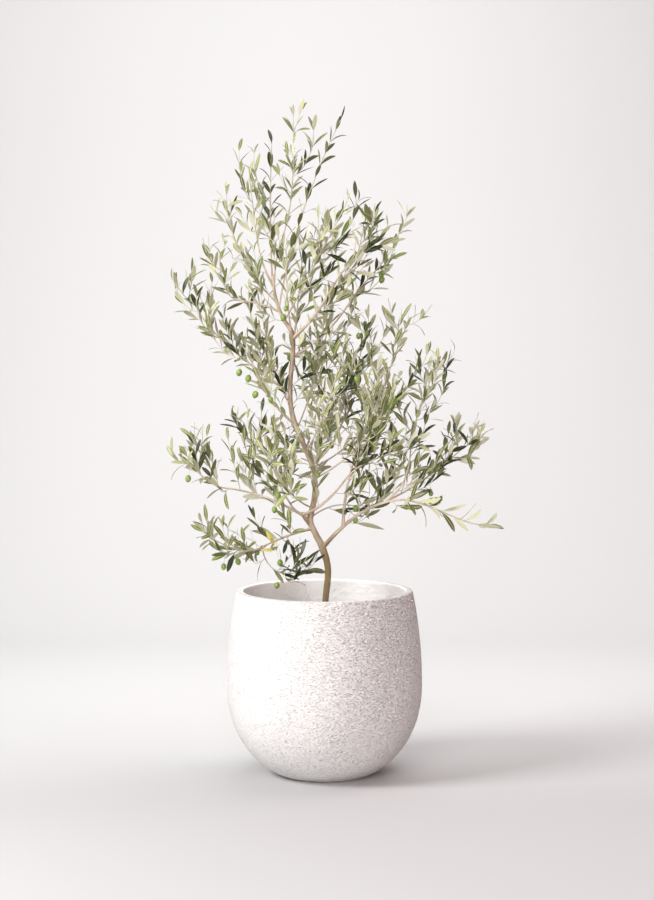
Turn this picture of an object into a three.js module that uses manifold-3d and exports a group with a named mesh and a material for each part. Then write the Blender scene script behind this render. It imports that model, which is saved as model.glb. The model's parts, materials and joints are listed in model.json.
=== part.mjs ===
// A young olive tree in a round, rough white planter, in millimetres, +Z up.
// The origin is the middle of the planter's flat foot, and -Y is the front of the plant.
// The trunk stands in the soil, boughs leave it, and each bough ends where it enters a mass of foliage.
// A mass grows by one seeded rule: a lead shoot, side shoots round it, and pairs of leaves on them.

import * as THREE from "three";
import { mergeVertices } from "three/addons/utils/BufferGeometryUtils.js";
import Module from "manifold-3d";

const wasm = await Module();
wasm.setup();

// The clearance left between two solids that touch on the real plant.
const GAP = 0.3;

// The planter: a cast bowl with a round belly, a thick lip and a small flat foot. Its wall runs from foot to
// belly on a curve whose fullness and turn are two powers.
const POT_HEIGHT = 374;
const POT_RIM_RADIUS = 178;
const POT_BELLY_RADIUS = 197.5;
const POT_BELLY_HEIGHT = 185;
const POT_FOOT_RADIUS = 80;
const BOWL_FULLNESS = 2.2;
const BOWL_TURN = 0.65;
const SHOULDER_HEIGHTS = [250, 312];
const POT_WALL = 15;
const POT_LIP_ROUND = 4;
const POT_FLOOR = 18;
const POT_SIDES = 28;

// The soil fills the planter up to this depth under the lip.
const SOIL_DEPTH = 72;
const SOIL_TOP = POT_HEIGHT - SOIL_DEPTH;

// The trunk's bends from the soil to its thin top: x, y, z and the wood's radius there.
const TRUNK = [
  [1, 0, SOIL_TOP + GAP, 10.5],
  [1, 0, 312, 7.6],
  [2, 0, 355, 6.2],
  [7, 1, 415, 6.6],
  [-4, 2, 459, 7.0],
  [-18, 3, 487, 6.2],
  [-29, 4, 515, 6.4],
  [-21, 3, 555, 5.6],
  [-19, 0, 592, 5.3],
  [-26, -3, 629, 5.2],
  [-54, -4, 698, 5.0],
  [-67, -2, 744, 4.9],
  [-68, 2, 795, 4.7],
  [-63, 4, 882, 4.5],
  [-84, 8, 922, 3.9],
  [-98, 12, 962, 3.4],
  [-105, 15, 1006, 2.8],
];
const TRUNK_SIDES = 7;
const TRUNK_STEPS = 22;

// The boughs. Each leaves its parent at a height on the trunk, or at a share of another bough's length,
// and ends at its tip. The bow is how far its middle stands off a straight line.
const BOUGHS = {
  fork_stub: { parent: "trunk", at: 506, tip: [-46, -4, 531], bow: [0, 0, -2], radii: [5.0, 3.8] },
  right_low: { parent: "trunk", at: 459, tip: [150, -35, 560], bow: [0, 0, 22], radii: [4.0, 2.3] },
  right_riser: { parent: "right_low", at: 0.27, tip: [55, 12, 621], bow: [-4, 0, 0], radii: [3.2, 2.3] },
  crossing: { parent: "fork_stub", at: 0.86, tip: [41, -45, 601], bow: [2, -14, -8], radii: [3.1, 2.1] },
  left_mid: { parent: "fork_stub", at: 0.8, tip: [-198, -20, 582], bow: [0, 6, 9], radii: [2.6, 1.6] },
  left_low: { parent: "trunk", at: 498, tip: [-128, -58, 466], bow: [0, 0, 4], radii: [2.7, 1.8] },
  left_rise: { parent: "left_mid", at: 0.1, tip: [-105, 42, 621], bow: [-2, 2, -6], radii: [2.0, 1.4] },
  left_upper: { parent: "trunk", at: 773, tip: [-190, -30, 865], bow: [0, 0, -4], radii: [2.8, 1.8] },
  right_leader: { parent: "trunk", at: 880, tip: [22, -22, 993], bow: [2, 0, -7], radii: [3.4, 2.1] },
  left_shelf: { parent: "trunk", at: 932, tip: [-168, -16, 956], bow: [0, 0, 5], radii: [2.0, 1.4] },
  right_shelf: { parent: "trunk", at: 845, tip: [53, 55, 955], bow: [6, 0, -10], radii: [2.4, 1.6] },
  right_mid: { parent: "trunk", at: 629, tip: [41, 60, 725], bow: [6, 0, -12], radii: [2.7, 1.7] },
  top_centre: { parent: "trunk", at: 972, tip: [-83, 18, 1086], bow: [-6, 0, 0], radii: [2.1, 1.5] },
  top_left: { parent: "trunk", at: 984, tip: [-132, 0, 1064], bow: [-4, 0, 0], radii: [2.3, 1.5] },
  right_tall: { parent: "right_riser", at: 0.86, tip: [117, 34, 757], bow: [10, 0, -12], radii: [2.2, 1.5] },
  right_outer: { parent: "right_low", at: 0.8, tip: [172, -8, 655], bow: [12, 0, -10], radii: [2.1, 1.4] },
  right_reach: { parent: "right_low", at: 0.66, tip: [212, 24, 604], bow: [4, 6, -4], radii: [2.1, 1.4] },
  arching: { parent: "trunk", at: 519, tip: [56, 38, 541], bow: [0, 0, 11], radii: [1.8, 1.2] },
  hanging: { parent: "left_low", at: 0.93, tip: [-106, -70, 430], bow: [-6, 0, 0], radii: [1.5, 1.1] },
};
const BOUGH_SIDES = 5;
const BOUGH_STEPS = 4;
const BOUGH_COLLAR = 0.35;
const COLLAR_FADE = 9;

// The masses of foliage. Each grows to its own tip, from a bough's tip or from the trunk at a height.
// The bow bends its lead shoot, and the spread is how far its side shoots stand out. A lead that leaves the
// trunk is bare for longer. The fruit hangs from the lead, near its foot.
const MASSES = {
  spire: { from: "top_centre", tip: [-62, 10, 1347], bow: [4, 0, 0], spread: 40 },
  top_inner: { from: "trunk", at: 1006, tip: [-104, 34, 1296], bow: [-4, 6, 0], spread: 40, shoots: 5 },
  top_left: { from: "top_left", tip: [-157, -20, 1266], bow: [2, -4, 0], spread: 42, shoots: 5 },
  top_right: { from: "trunk", at: 940, tip: [45, -14, 1337], bow: [-16, -10, 6], spread: 42, shoots: 5 },
  left_edge: { from: "trunk", at: 951, tip: [-202, 30, 1196], bow: [-26, 10, -10], spread: 44, shoots: 5 },
  left_shelf: { from: "left_shelf", tip: [-212, -30, 1086], bow: [-8, 0, -6], spread: 54 },
  left_upper: { from: "left_upper", tip: [-287, -46, 1030], bow: [-14, 0, -14], spread: 50 },
  left_inner: { from: "trunk", at: 705, tip: [-156, -62, 890], bow: [-16, -8, -12], spread: 54, fruit: 2 },
  upper_front: { from: "trunk", at: 893, tip: [-72, -76, 1108], bow: [-6, -22, -10], spread: 54, fruit: 1 },
  upper_back: { from: "trunk", at: 868, tip: [-40, 96, 1104], bow: [0, 20, -10], spread: 56, shoots: 5 },
  right_top: { from: "trunk", at: 915, tip: [58, -40, 1176], bow: [-2, -10, -6], spread: 50 },
  right_upper: { from: "right_leader", tip: [140, -50, 1124], bow: [6, -4, -12], spread: 50 },
  right_shelf: { from: "right_shelf", tip: [146, 62, 1080], bow: [6, 0, -10], spread: 52 },
  centre_front: { from: "trunk", at: 655, tip: [44, -98, 902], bow: [6, -24, -14], spread: 58 },
  centre_back: { from: "trunk", at: 700, tip: [22, 120, 972], bow: [4, 22, -14], spread: 60, shoots: 5 },
  right_mid: { from: "right_mid", tip: [92, 70, 938], bow: [2, 0, -6], spread: 56, fruit: 1 },
  left_back: { from: "trunk", at: 742, tip: [-134, 118, 962], bow: [-8, 24, -14], spread: 58, shoots: 5 },
  right_tall: { from: "right_tall", tip: [188, 30, 966], bow: [0, 0, 0], spread: 50 },
  right_outer: { from: "right_outer", tip: [236, -4, 884], bow: [6, 0, -6], spread: 50 },
  right_edge: { from: "trunk", at: 600, tip: [150, -100, 832], bow: [22, -20, -22], spread: 56 },
  riser_top: { from: "right_riser", tip: [112, -20, 846], bow: [0, 0, 0], spread: 54 },
  crossing: { from: "crossing", tip: [196, -96, 690], bow: [0, -4, -6], spread: 52, fruit: 1 },
  right_reach: { from: "right_reach", tip: [318, 22, 712], bow: [8, 0, -10], spread: 50, fruit: 1 },
  right_droop: { from: "right_low", tip: [336, -62, 520], bow: [20, 0, -34], spread: 22, shoots: 1, fruit: 1 },
  right_back: { from: "trunk", at: 622, tip: [150, 150, 800], bow: [16, 24, -22], spread: 56, shoots: 5 },
  arching: { from: "arching", tip: [134, 74, 600], bow: [0, 0, -8], spread: 40, shoots: 3, fruit: 1 },
  left_mid: { from: "left_mid", tip: [-288, -30, 674], bow: [-6, 0, -14], spread: 50, fruit: 1 },
  left_rise: { from: "left_rise", tip: [-172, 56, 724], bow: [0, 0, -8], spread: 54 },
  left_front: { from: "trunk", at: 540, tip: [-116, -112, 700], bow: [-14, -22, -20], spread: 54, fruit: 1 },
  back_low: { from: "trunk", at: 574, tip: [-10, 156, 760], bow: [0, 30, -26], spread: 58, shoots: 5 },
  left_low: { from: "left_low", tip: [-262, -84, 520], bow: [-4, 0, -16], spread: 42, fruit: 2 },
  hanging: { from: "hanging", tip: [-14, -84, 446], bow: [0, 0, -22], spread: 30, shoots: 4, fruit: 2 },
};
const USUAL_SHOOTS = 6;
const BOUGH_LEAD_BARE = 0.08;
const TRUNK_LEAD_BARE = 0.25;

// The growth rule. Two controls draw a lead's line, at shares of the way and pulled off it by the bow.
const EARLY_CONTROL = 0.3;
const LATE_CONTROL = 0.68;
const BOW_PULL = 1.3;

// Side shoots leave the lead all round it, between its bare foot and BRANCH_TO. Each runs square out at
// first, and then turns along the lead and up, by shares of its length.
const BRANCH_FROM = 0.12;
const BRANCH_TO = 0.78;
const SIDE_LENGTHS = [0.85, 1.15];
const FIRST_OUT = 0.51;
const FIRST_ALONG = 0.25;
const SIDE_ORDER = [0, 2, 1, 3];
const TURN_SCATTER = 0.8;
const SIDE_OUT = 0.85;
const SIDE_ALONG = 0.6;
const SIDE_UP = 0.6;
const SIDE_TAPER = 0.5;
const SIDE_BARE = 0.5;
const SHOOT_TIP_RADIUS = 1.1;
const TRUNK_STEM_RADIUS = 1.9;
const LEAD_SHAPE = { sides: 4, steps: 4, pointed: true };
const SIDE_SHAPE = { sides: 4, steps: 2, pointed: true };

// The space of a mass is an egg from its root to its tip, this much wider than its shoots.
const SPACE_MARGIN = 34;
const SPACE_MIDDLE = 0.55;

// The leaves stand in opposite pairs, each pair turned a quarter from the last. The angles are in radians.
const LEAF_LENGTH = 52;
const LEAF_WIDTH = 14;
const LEAF_THICKNESS = 1.4;
const LEAF_WIDEST = 0.46;
const LEAF_ARCH = 0.08;
const LEAF_SIZES = [0.86, 1.14];
const TIP_LEAF_SIZE = 0.72;
const LEAF_NECK = 0.15;
const LEAF_KEEP_OFF = 0.45;
const LEAF_SCATTER = 0.22;
const LEAF_SPLAY = 0.75;
const TIP_SPLAY = 0.55;
const LEAST_SPLAY = 0.42;
const LEAF_LIFT = 0.2;
const LAST_NODE = 0.86;
const LEAD_SPACING = 52;
const SIDE_SPACING = 30;
const LEAF_STREAM = 500;

// The green olives and their stalks.
const FRUIT_LENGTH = 14.5;
const FRUIT_WIDTH = 11.5;
const STALK_LENGTH = 15;
const STALK_RADIUS = 0.6;
const FRUIT_NODES = [0.3, 0.16];
const FRUIT_DROOP = 0.5;

const UP = new THREE.Vector3(0, 0, 1);
const FULL_TURN = 2 * Math.PI;

// A closed geometry as a solid. Only its positions are kept, so that shared vertices merge.
function solidOf(geometry) {
  const bare = geometry.clone();
  bare.deleteAttribute("normal");
  bare.deleteAttribute("uv");
  const merged = mergeVertices(bare, 1e-4);
  const mesh = new wasm.Mesh({
    numProp: 3,
    vertProperties: new Float32Array(merged.attributes.position.array),
    triVerts: new Uint32Array(merged.index.array),
  });
  return new wasm.Manifold(mesh);
}

// A solid's largest body as a three.js geometry, with the loose scraps left out.
function geometryOf(solid) {
  const whole = solid.decompose().sort((a, b) => b.volume() - a.volume())[0];
  const mesh = whole.getMesh();
  return new THREE.BufferGeometry()
    .setAttribute("position", new THREE.BufferAttribute(new Float32Array(mesh.vertProperties), 3))
    .setIndex(new THREE.BufferAttribute(new Uint32Array(mesh.triVerts), 1));
}

// The same numbers in the same order for the same seed, from 0 up to 1.
function seeded(seed) {
  const range = 2 ** 32;
  let state = (seed * 7919 + 104729) % range;
  return () => {
    state = (state * 1664525 + 1013904223) % range;
    return state / range;
  };
}

// The direction square to a line at a share of it, turned by an angle round it.
function outward(line, share, angle) {
  const chord = line.getPoint(1).sub(line.getPoint(0)).normalize();
  const reference = Math.abs(chord.y) < 0.8 ? new THREE.Vector3(0, 1, 0) : new THREE.Vector3(1, 0, 0);
  const way = line.getTangent(share);
  const first = reference.addScaledVector(way, -reference.dot(way)).normalize();
  const second = way.clone().cross(first);
  return first.multiplyScalar(Math.cos(angle)).addScaledVector(second, Math.sin(angle));
}

// The angle at which the middle of one of the four flat sides of a shoot faces.
function flatSide(turn, side) {
  return turn + FULL_TURN * (side / 4 + 1 / 8);
}

// A curve cut into straight pieces of equal share, as the wood that follows it is.
class FacetedLine extends THREE.Curve {
  constructor(curve, steps) {
    super();
    this.points = Array.from({ length: steps + 1 }, (_, i) => curve.getPoint(i / steps));
  }

  getPoint(share) {
    const place = share * (this.points.length - 1);
    const below = Math.min(Math.floor(place), this.points.length - 2);
    return this.points[below].clone().lerp(this.points[below + 1], place - below);
  }
}

// A cylinder bent along a line, with its radius given at each share of it, and grown by a clearance.
// A limb is cut off flat at its end, and a shoot comes to a point.
function limbSolid({ line, radiusAt, sides, steps, turn = 0, pointed = false }, clearance = 0) {
  const geometry = new THREE.CylinderGeometry(pointed ? 0 : 1, 1, 1, sides, steps);
  const position = geometry.attributes.position;
  for (let i = 0; i < position.count; i++) {
    const share = THREE.MathUtils.clamp(position.getY(i) + 0.5, 0, 1);
    const corner = Math.atan2(position.getX(i), position.getZ(i));
    const isMiddle = Math.hypot(position.getX(i), position.getZ(i)) < 1e-6;
    const past = share === 0 ? -clearance : share === 1 ? clearance : 0;
    const place = line
      .getPoint(share)
      .addScaledVector(line.getTangent(share), past)
      .addScaledVector(outward(line, share, turn + corner), isMiddle ? 0 : radiusAt(share) + clearance);
    position.setXYZ(i, place.x, place.y, place.z);
  }
  return solidOf(geometry);
}

// The trunk's line, its radius at a share of it, and the share at which it passes a height.
const trunkLine = new THREE.CatmullRomCurve3(
  TRUNK.map(([x, y, z]) => new THREE.Vector3(x, y, z)),
  false,
  "catmullrom",
  0.5,
);

function trunkRadius(share) {
  const place = share * (TRUNK.length - 1);
  const below = Math.min(Math.floor(place), TRUNK.length - 2);
  return THREE.MathUtils.lerp(TRUNK[below][3], TRUNK[below + 1][3], place - below);
}

function trunkShare(height) {
  let low = 0;
  let high = 1;
  while (high - low > 1e-6) {
    const middle = (low + high) / 2;
    if (trunkLine.getPoint(middle).z < height) low = middle;
    else high = middle;
  }
  return low;
}

// A line from one point to another whose middle stands off the straight by the bow.
function bowed(from, to, bow) {
  const control = from.clone().lerp(to, 0.5).addScaledVector(bow, 2);
  return new THREE.QuadraticBezierCurve3(from, control, to);
}

// Every limb's line and radius, the trunk first, because a bough leaves a limb that is already there.
const limbs = { trunk: { line: trunkLine, radiusAt: trunkRadius, sides: TRUNK_SIDES, steps: TRUNK_STEPS } };
for (const [name, { parent, at, tip, bow, radii }] of Object.entries(BOUGHS)) {
  const share = parent === "trunk" ? trunkShare(at) : at;
  const root = limbs[parent].line.getPoint(share);
  const line = bowed(root, new THREE.Vector3(...tip), new THREE.Vector3(...bow));
  const radiusAt = (t) =>
    THREE.MathUtils.lerp(radii[0], radii[1], t) * (1 + BOUGH_COLLAR * Math.exp(-COLLAR_FADE * t));
  limbs[name] = { line, radiusAt, parent, sides: BOUGH_SIDES, steps: BOUGH_STEPS };
}

// One olive leaf with 6 faces: a sphere of three sides drawn out from its foot to its tip, flat above, keeled
// below, and arched. The corners of its middle are those of a triangle of even sides before it is squashed.
function leafSolid({ foot, along, face, length, width }) {
  const geometry = new THREE.SphereGeometry(1, 3, 2);
  const across = face.clone().cross(along).normalize();
  const position = geometry.attributes.position;
  for (let i = 0; i < position.count; i++) {
    const end = position.getY(i);
    const share = end > 0.5 ? 1 : end < -0.5 ? 0 : LEAF_WIDEST;
    const rise = share === LEAF_WIDEST ? LEAF_ARCH * length : 0;
    const place = foot
      .clone()
      .addScaledVector(along, share * length)
      .addScaledVector(across, (position.getZ(i) * width) / Math.sqrt(3))
      .addScaledVector(face, rise + position.getX(i) * LEAF_THICKNESS * (2 / 3));
    position.setXYZ(i, place.x, place.y, place.z);
  }
  return solidOf(geometry);
}

// One olive on its stalk, which leaves a shoot from the side that faces down most.
function fruitSolid({ foot, way }) {
  const middle = STALK_LENGTH + FRUIT_LENGTH / 2;
  const profile = [
    new THREE.Vector2(0, 0),
    new THREE.Vector2(STALK_RADIUS, 0),
    new THREE.Vector2(STALK_RADIUS, STALK_LENGTH),
    new THREE.Vector2(FRUIT_WIDTH / 2, middle - FRUIT_LENGTH / 5),
    new THREE.Vector2(FRUIT_WIDTH / 2, middle + FRUIT_LENGTH / 5),
    new THREE.Vector2(0, STALK_LENGTH + FRUIT_LENGTH),
  ];
  const turn = new THREE.Quaternion().setFromUnitVectors(new THREE.Vector3(0, 1, 0), way);
  const place = new THREE.Matrix4().makeRotationFromQuaternion(turn).setPosition(foot);
  return solidOf(new THREE.LatheGeometry(profile, 5).applyMatrix4(place));
}

function fruitOf({ line, turn }, share) {
  const sides = [0, 1, 2, 3].map((side) => outward(line, share, flatSide(turn, side)));
  const lowest = sides.reduce((best, side) => (side.z < best.z ? side : best));
  return { foot: line.getPoint(share), way: lowest.addScaledVector(UP, -FRUIT_DROOP).normalize() };
}

// The lead shoot of a mass. It goes on from its bough's tip, or leaves the trunk, and ends at the mass's tip.
function leadOf({ from, at, tip, bow }) {
  const { line, radiusAt } = limbs[from];
  const root = line.getPoint(from === "trunk" ? trunkShare(at) : 1);
  const chord = new THREE.Vector3(...tip).sub(root);
  const off = new THREE.Vector3(...bow);
  const end = new THREE.Vector3(...tip);
  const late = root.clone().addScaledVector(chord, LATE_CONTROL).addScaledVector(off, BOW_PULL);
  const early =
    from === "trunk"
      ? root.clone().addScaledVector(chord, EARLY_CONTROL).addScaledVector(off, BOW_PULL)
      : root.clone().addScaledVector(line.getTangent(1), chord.length() * EARLY_CONTROL);
  const curve = new THREE.CubicBezierCurve3(root, early, late, end);
  const radius = from === "trunk" ? TRUNK_STEM_RADIUS : radiusAt(1);
  return { line: new FacetedLine(curve, LEAD_SHAPE.steps), radius };
}

// The wood of a mass: its lead shoot, then the side shoots round it.
// Like the leaves, a side shoot leaves from the middle of one of its parent's four flat sides.
function shootsOf(mass, seed) {
  const draw = seeded(seed);
  const { line: lead, radius: thickest } = leadOf(mass);
  const leadRadius = (share) => THREE.MathUtils.lerp(thickest, SHOOT_TIP_RADIUS, share);
  const leadTurn = FULL_TURN * draw();
  const bare = mass.from === "trunk" ? TRUNK_LEAD_BARE : BOUGH_LEAD_BARE;
  const count = mass.shoots ?? USUAL_SHOOTS;
  const shoots = [{ line: lead, radiusAt: leadRadius, turn: leadTurn, bare, ...LEAD_SHAPE }];
  for (let i = 0; i < count; i++) {
    const first = Math.max(BRANCH_FROM, bare);
    const station = THREE.MathUtils.lerp(first, BRANCH_TO, (i + draw() / 2) / count);
    const length = mass.spread * THREE.MathUtils.lerp(...SIDE_LENGTHS, draw());
    const side = flatSide(leadTurn, SIDE_ORDER[i % 4]);
    const from = lead.getPoint(station);
    const along = lead.getTangent(station);
    const leaving = outward(lead, station, side);
    const out = outward(lead, station, side + TURN_SCATTER * (draw() - 0.5));
    const middle = from
      .clone()
      .addScaledVector(leaving, length * FIRST_OUT)
      .addScaledVector(along, length * FIRST_ALONG);
    const end = from
      .clone()
      .addScaledVector(out, length * SIDE_OUT)
      .addScaledVector(along, length * SIDE_ALONG)
      .addScaledVector(UP, length * SIDE_UP);
    const line = new FacetedLine(new THREE.QuadraticBezierCurve3(from, middle, end), SIDE_SHAPE.steps);
    const radius = leadRadius(station) * SIDE_TAPER;
    const radiusAt = (share) => THREE.MathUtils.lerp(radius, SHOOT_TIP_RADIUS * SIDE_TAPER, share);
    shoots.push({ line, radiusAt, turn: FULL_TURN * draw(), bare: SIDE_BARE, ...SIDE_SHAPE });
  }
  return shoots;
}

// The pairs of leaves along one shoot, from its bare foot to its tip. Each leaf's foot is on the wood's axis.
function leavesOf({ line, turn, bare }, spacing, draw) {
  const leaves = [];
  const pairs = Math.max(1, Math.round((line.getLength() * (1 - bare)) / spacing));
  for (let node = 0; node <= pairs; node++) {
    const share = THREE.MathUtils.lerp(bare, LAST_NODE, node / pairs);
    const atTip = node === pairs;
    const along = line.getTangent(share);
    for (const hand of [0, 2]) {
      const out = outward(line, share, flatSide(turn, node + hand));
      const spread = (atTip ? TIP_SPLAY : LEAF_SPLAY) + LEAF_SCATTER * (draw() - 0.5) + LEAF_LIFT * out.z;
      const splay = Math.max(spread, LEAST_SPLAY);
      const way = along.clone().multiplyScalar(Math.cos(splay)).addScaledVector(out, Math.sin(splay));
      const face = along.clone().addScaledVector(way, -along.dot(way)).normalize();
      const size = atTip ? TIP_LEAF_SIZE : THREE.MathUtils.lerp(...LEAF_SIZES, draw());
      const foot = line.getPoint(share);
      leaves.push({ foot, along: way, face, length: LEAF_LENGTH * size, width: LEAF_WIDTH * size });
    }
  }
  return leaves;
}

// The shortest distance between two straight pieces.
function between(a, b, c, d) {
  const first = b.clone().sub(a);
  const second = d.clone().sub(c);
  const offset = a.clone().sub(c);
  const aa = first.dot(first);
  const bb = second.dot(second);
  const ab = first.dot(second);
  const ao = first.dot(offset);
  const bo = second.dot(offset);
  const spread = aa * bb - ab * ab;
  let s = spread > 1e-9 ? THREE.MathUtils.clamp((ab * bo - bb * ao) / spread, 0, 1) : 0;
  const t = THREE.MathUtils.clamp((ab * s + bo) / bb, 0, 1);
  s = THREE.MathUtils.clamp((ab * t - ao) / aa, 0, 1);
  return offset.addScaledVector(first, s).addScaledVector(second, -t).length();
}

// A limb or shoot as straight pieces that carry their thickness, for telling what would touch.
function piecesOf({ line, radiusAt, steps }, owner) {
  return Array.from({ length: steps }, (_, i) => ({
    a: line.getPoint(i / steps),
    b: line.getPoint((i + 1) / steps),
    radius: radiusAt(i / steps),
    owner,
  }));
}

// Everything that a new twig or leaf has to keep off.
const taken = Object.entries(limbs).flatMap(([name, limb]) => piecesOf(limb, name));

function touches(piece) {
  return taken.some(
    (other) =>
      (piece.shoot ? other.shoot !== piece.shoot : other.owner !== piece.owner) &&
      between(piece.a, piece.b, other.a, other.b) < piece.radius + other.radius + 2 * GAP,
  );
}

// The space of each mass.
const spaces = Object.entries(MASSES).map(([name, mass]) => {
  const { line } = leadOf(mass);
  const root = line.getPoint(0);
  const axis = line.getPoint(1).sub(root);
  const half = axis.length() / 2 + SPACE_MARGIN;
  const middle = root.addScaledVector(axis, SPACE_MIDDLE);
  return { name, middle, axis: axis.normalize(), half, wide: mass.spread + SPACE_MARGIN };
});

// How far out a point lies in a space: below 1 is inside it.
function depthIn({ middle, axis, half, wide }, point) {
  const offset = point.clone().sub(middle);
  const along = offset.dot(axis);
  const across = offset.addScaledVector(axis, -along).length();
  return Math.hypot(along / half, across / wide);
}

// A point belongs to the space that it lies deepest in.
function belongs(name, point) {
  const own = depthIn(spaces.find((space) => space.name === name), point);
  return own < 1 && spaces.every((space) => space.name === name || depthIn(space, point) > own);
}

// The shoots that a mass keeps. A side shoot that would leave its space or touch other wood is skipped.
function keptShoots(name, mass, seed) {
  return shootsOf(mass, seed).filter((shoot, index) => {
    const pieces = piecesOf(shoot, name);
    const isLead = index === 0;
    if (!isLead && (!belongs(name, shoot.line.getPoint(LAST_NODE)) || pieces.some(touches))) return false;
    taken.push(...pieces.map((piece) => ({ ...piece, shoot })));
    return true;
  });
}

// The leaves that a shoot keeps. One that would leave the mass's space, or touch a limb, another shoot or a
// leaf of another shoot, is skipped.
function keptLeaves(name, shoot, spacing, draw) {
  return leavesOf(shoot, spacing, draw).filter(({ foot, along, face, length, width }) => {
    const tip = foot.clone().addScaledVector(along, length);
    const arch = face.clone().multiplyScalar((LEAF_ARCH * length) / 2);
    const piece = {
      a: foot.clone().lerp(tip, LEAF_NECK).add(arch),
      b: tip.clone().add(arch),
      radius: width * LEAF_KEEP_OFF,
      owner: name,
      shoot,
    };
    if (!belongs(name, tip) || touches(piece)) return false;
    taken.push(piece);
    return true;
  });
}

// The fruit that a mass keeps, clear of everything that isn't its own.
function keptFruit(name, { fruit = 0 }, lead) {
  return FRUIT_NODES.slice(0, fruit)
    .map((share) => fruitOf(lead, share))
    .filter(({ foot, way }) => {
      const far = foot.clone().addScaledVector(way, STALK_LENGTH + FRUIT_LENGTH);
      const piece = { a: foot, b: far, radius: FRUIT_WIDTH / 2, owner: name };
      if (touches(piece)) return false;
      taken.push(piece);
      return true;
    });
}

// A mass as one solid: its shoots with the leaves and fruit fused on, cut clear of the limb that carries it.
function massSolid(name, mass, shoots, seed) {
  const draw = seeded(seed + LEAF_STREAM);
  const leaves = shoots.flatMap((shoot, index) =>
    keptLeaves(name, shoot, index === 0 ? LEAD_SPACING : SIDE_SPACING, draw),
  );
  const fruit = keptFruit(name, mass, shoots[0]);
  const twigs = shoots.map((shoot) => limbSolid(shoot));
  const parts = [...twigs, ...leaves.map(leafSolid), ...fruit.map(fruitSolid)];
  return wasm.Manifold.union(parts).subtract(limbSolid(limbs[mass.from], GAP));
}

// The planter's outer radius at a height: a bowl up to the belly, then a slow lean in to the lip.
function potRadius(height) {
  if (height >= POT_BELLY_HEIGHT) {
    const share = (height - POT_BELLY_HEIGHT) / (POT_HEIGHT - POT_BELLY_HEIGHT);
    return THREE.MathUtils.lerp(POT_BELLY_RADIUS, POT_RIM_RADIUS, share ** 2);
  }
  const full = (1 - (1 - height / POT_BELLY_HEIGHT) ** BOWL_FULLNESS) ** BOWL_TURN;
  return THREE.MathUtils.lerp(POT_FOOT_RADIUS, POT_BELLY_RADIUS, full);
}

// The bowl's heights from the foot up, closest together where it turns under.
function bowlHeights(from, to, count) {
  return Array.from({ length: count + 1 }, (_, i) => from + (to - from) * (i / count) ** 2);
}

// The heights at which the planter's inner wall bends, and at which the soil that lies against it bends too.
const INNER_HEIGHTS = [...bowlHeights(POT_FLOOR, POT_BELLY_HEIGHT, 3), SOIL_TOP, POT_HEIGHT - POT_LIP_ROUND];

function potGeometry() {
  const outside = [...bowlHeights(0, POT_BELLY_HEIGHT, 6), ...SHOULDER_HEIGHTS, POT_HEIGHT - POT_LIP_ROUND];
  const profile = [
    new THREE.Vector2(0, 0),
    ...outside.map((height) => new THREE.Vector2(potRadius(height), height)),
    new THREE.Vector2(POT_RIM_RADIUS - POT_LIP_ROUND, POT_HEIGHT),
    new THREE.Vector2(POT_RIM_RADIUS - POT_WALL + POT_LIP_ROUND, POT_HEIGHT),
    ...INNER_HEIGHTS.toReversed().map((height) => new THREE.Vector2(potRadius(height) - POT_WALL, height)),
    new THREE.Vector2(0, POT_FLOOR),
  ];
  return new THREE.LatheGeometry(profile, POT_SIDES).rotateX(Math.PI / 2);
}

function soilGeometry() {
  const against = INNER_HEIGHTS.slice(1, -1).map((height) => [potRadius(height) - POT_WALL - GAP, height]);
  const profile = [
    new THREE.Vector2(0, POT_FLOOR + GAP),
    new THREE.Vector2(potRadius(POT_FLOOR) - POT_WALL - GAP, POT_FLOOR + GAP),
    ...against.map(([radius, height]) => new THREE.Vector2(radius, height)),
    new THREE.Vector2(0, SOIL_TOP),
  ];
  return new THREE.LatheGeometry(profile, POT_SIDES).rotateX(Math.PI / 2);
}

const stone = new THREE.MeshStandardMaterial({ color: 0xf2efec, roughness: 0.95, metalness: 0 });
const earth = new THREE.MeshStandardMaterial({ color: 0x4b382a, roughness: 1, metalness: 0 });
const bark = new THREE.MeshStandardMaterial({ color: 0x9c8672, roughness: 0.9, metalness: 0 });
const foliage = new THREE.MeshStandardMaterial({ color: 0x8f9b72, roughness: 0.55, metalness: 0 });

const tree = new THREE.Group();

function addPart(name, geometry, material) {
  const mesh = new THREE.Mesh(geometry, material);
  mesh.name = name;
  tree.add(mesh);
}

addPart("pot", potGeometry(), stone);
addPart("soil", soilGeometry(), earth);
for (const [name, limb] of Object.entries(limbs)) {
  const whole = limbSolid(limb);
  const clear = limb.parent ? whole.subtract(limbSolid(limbs[limb.parent], GAP)) : whole;
  addPart(name === "trunk" ? name : "bough_" + name, geometryOf(clear), bark);
}

// All the wood is placed before the first leaf, and a mass's seed is its place in the list.
const wood = Object.entries(MASSES).map(([name, mass], index) => keptShoots(name, mass, index + 1));
Object.entries(MASSES).forEach(([name, mass], index) => {
  addPart("foliage_" + name, geometryOf(massSolid(name, mass, wood[index], index + 1)), foliage);
});

export default tree;
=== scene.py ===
"""A potted olive tree: its finish and fine growth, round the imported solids.

Lengths are in metres. Only the wood, the leaves and the olives are grown in millimetres, before their meshes
are made.
"""

import json
import math

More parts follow.
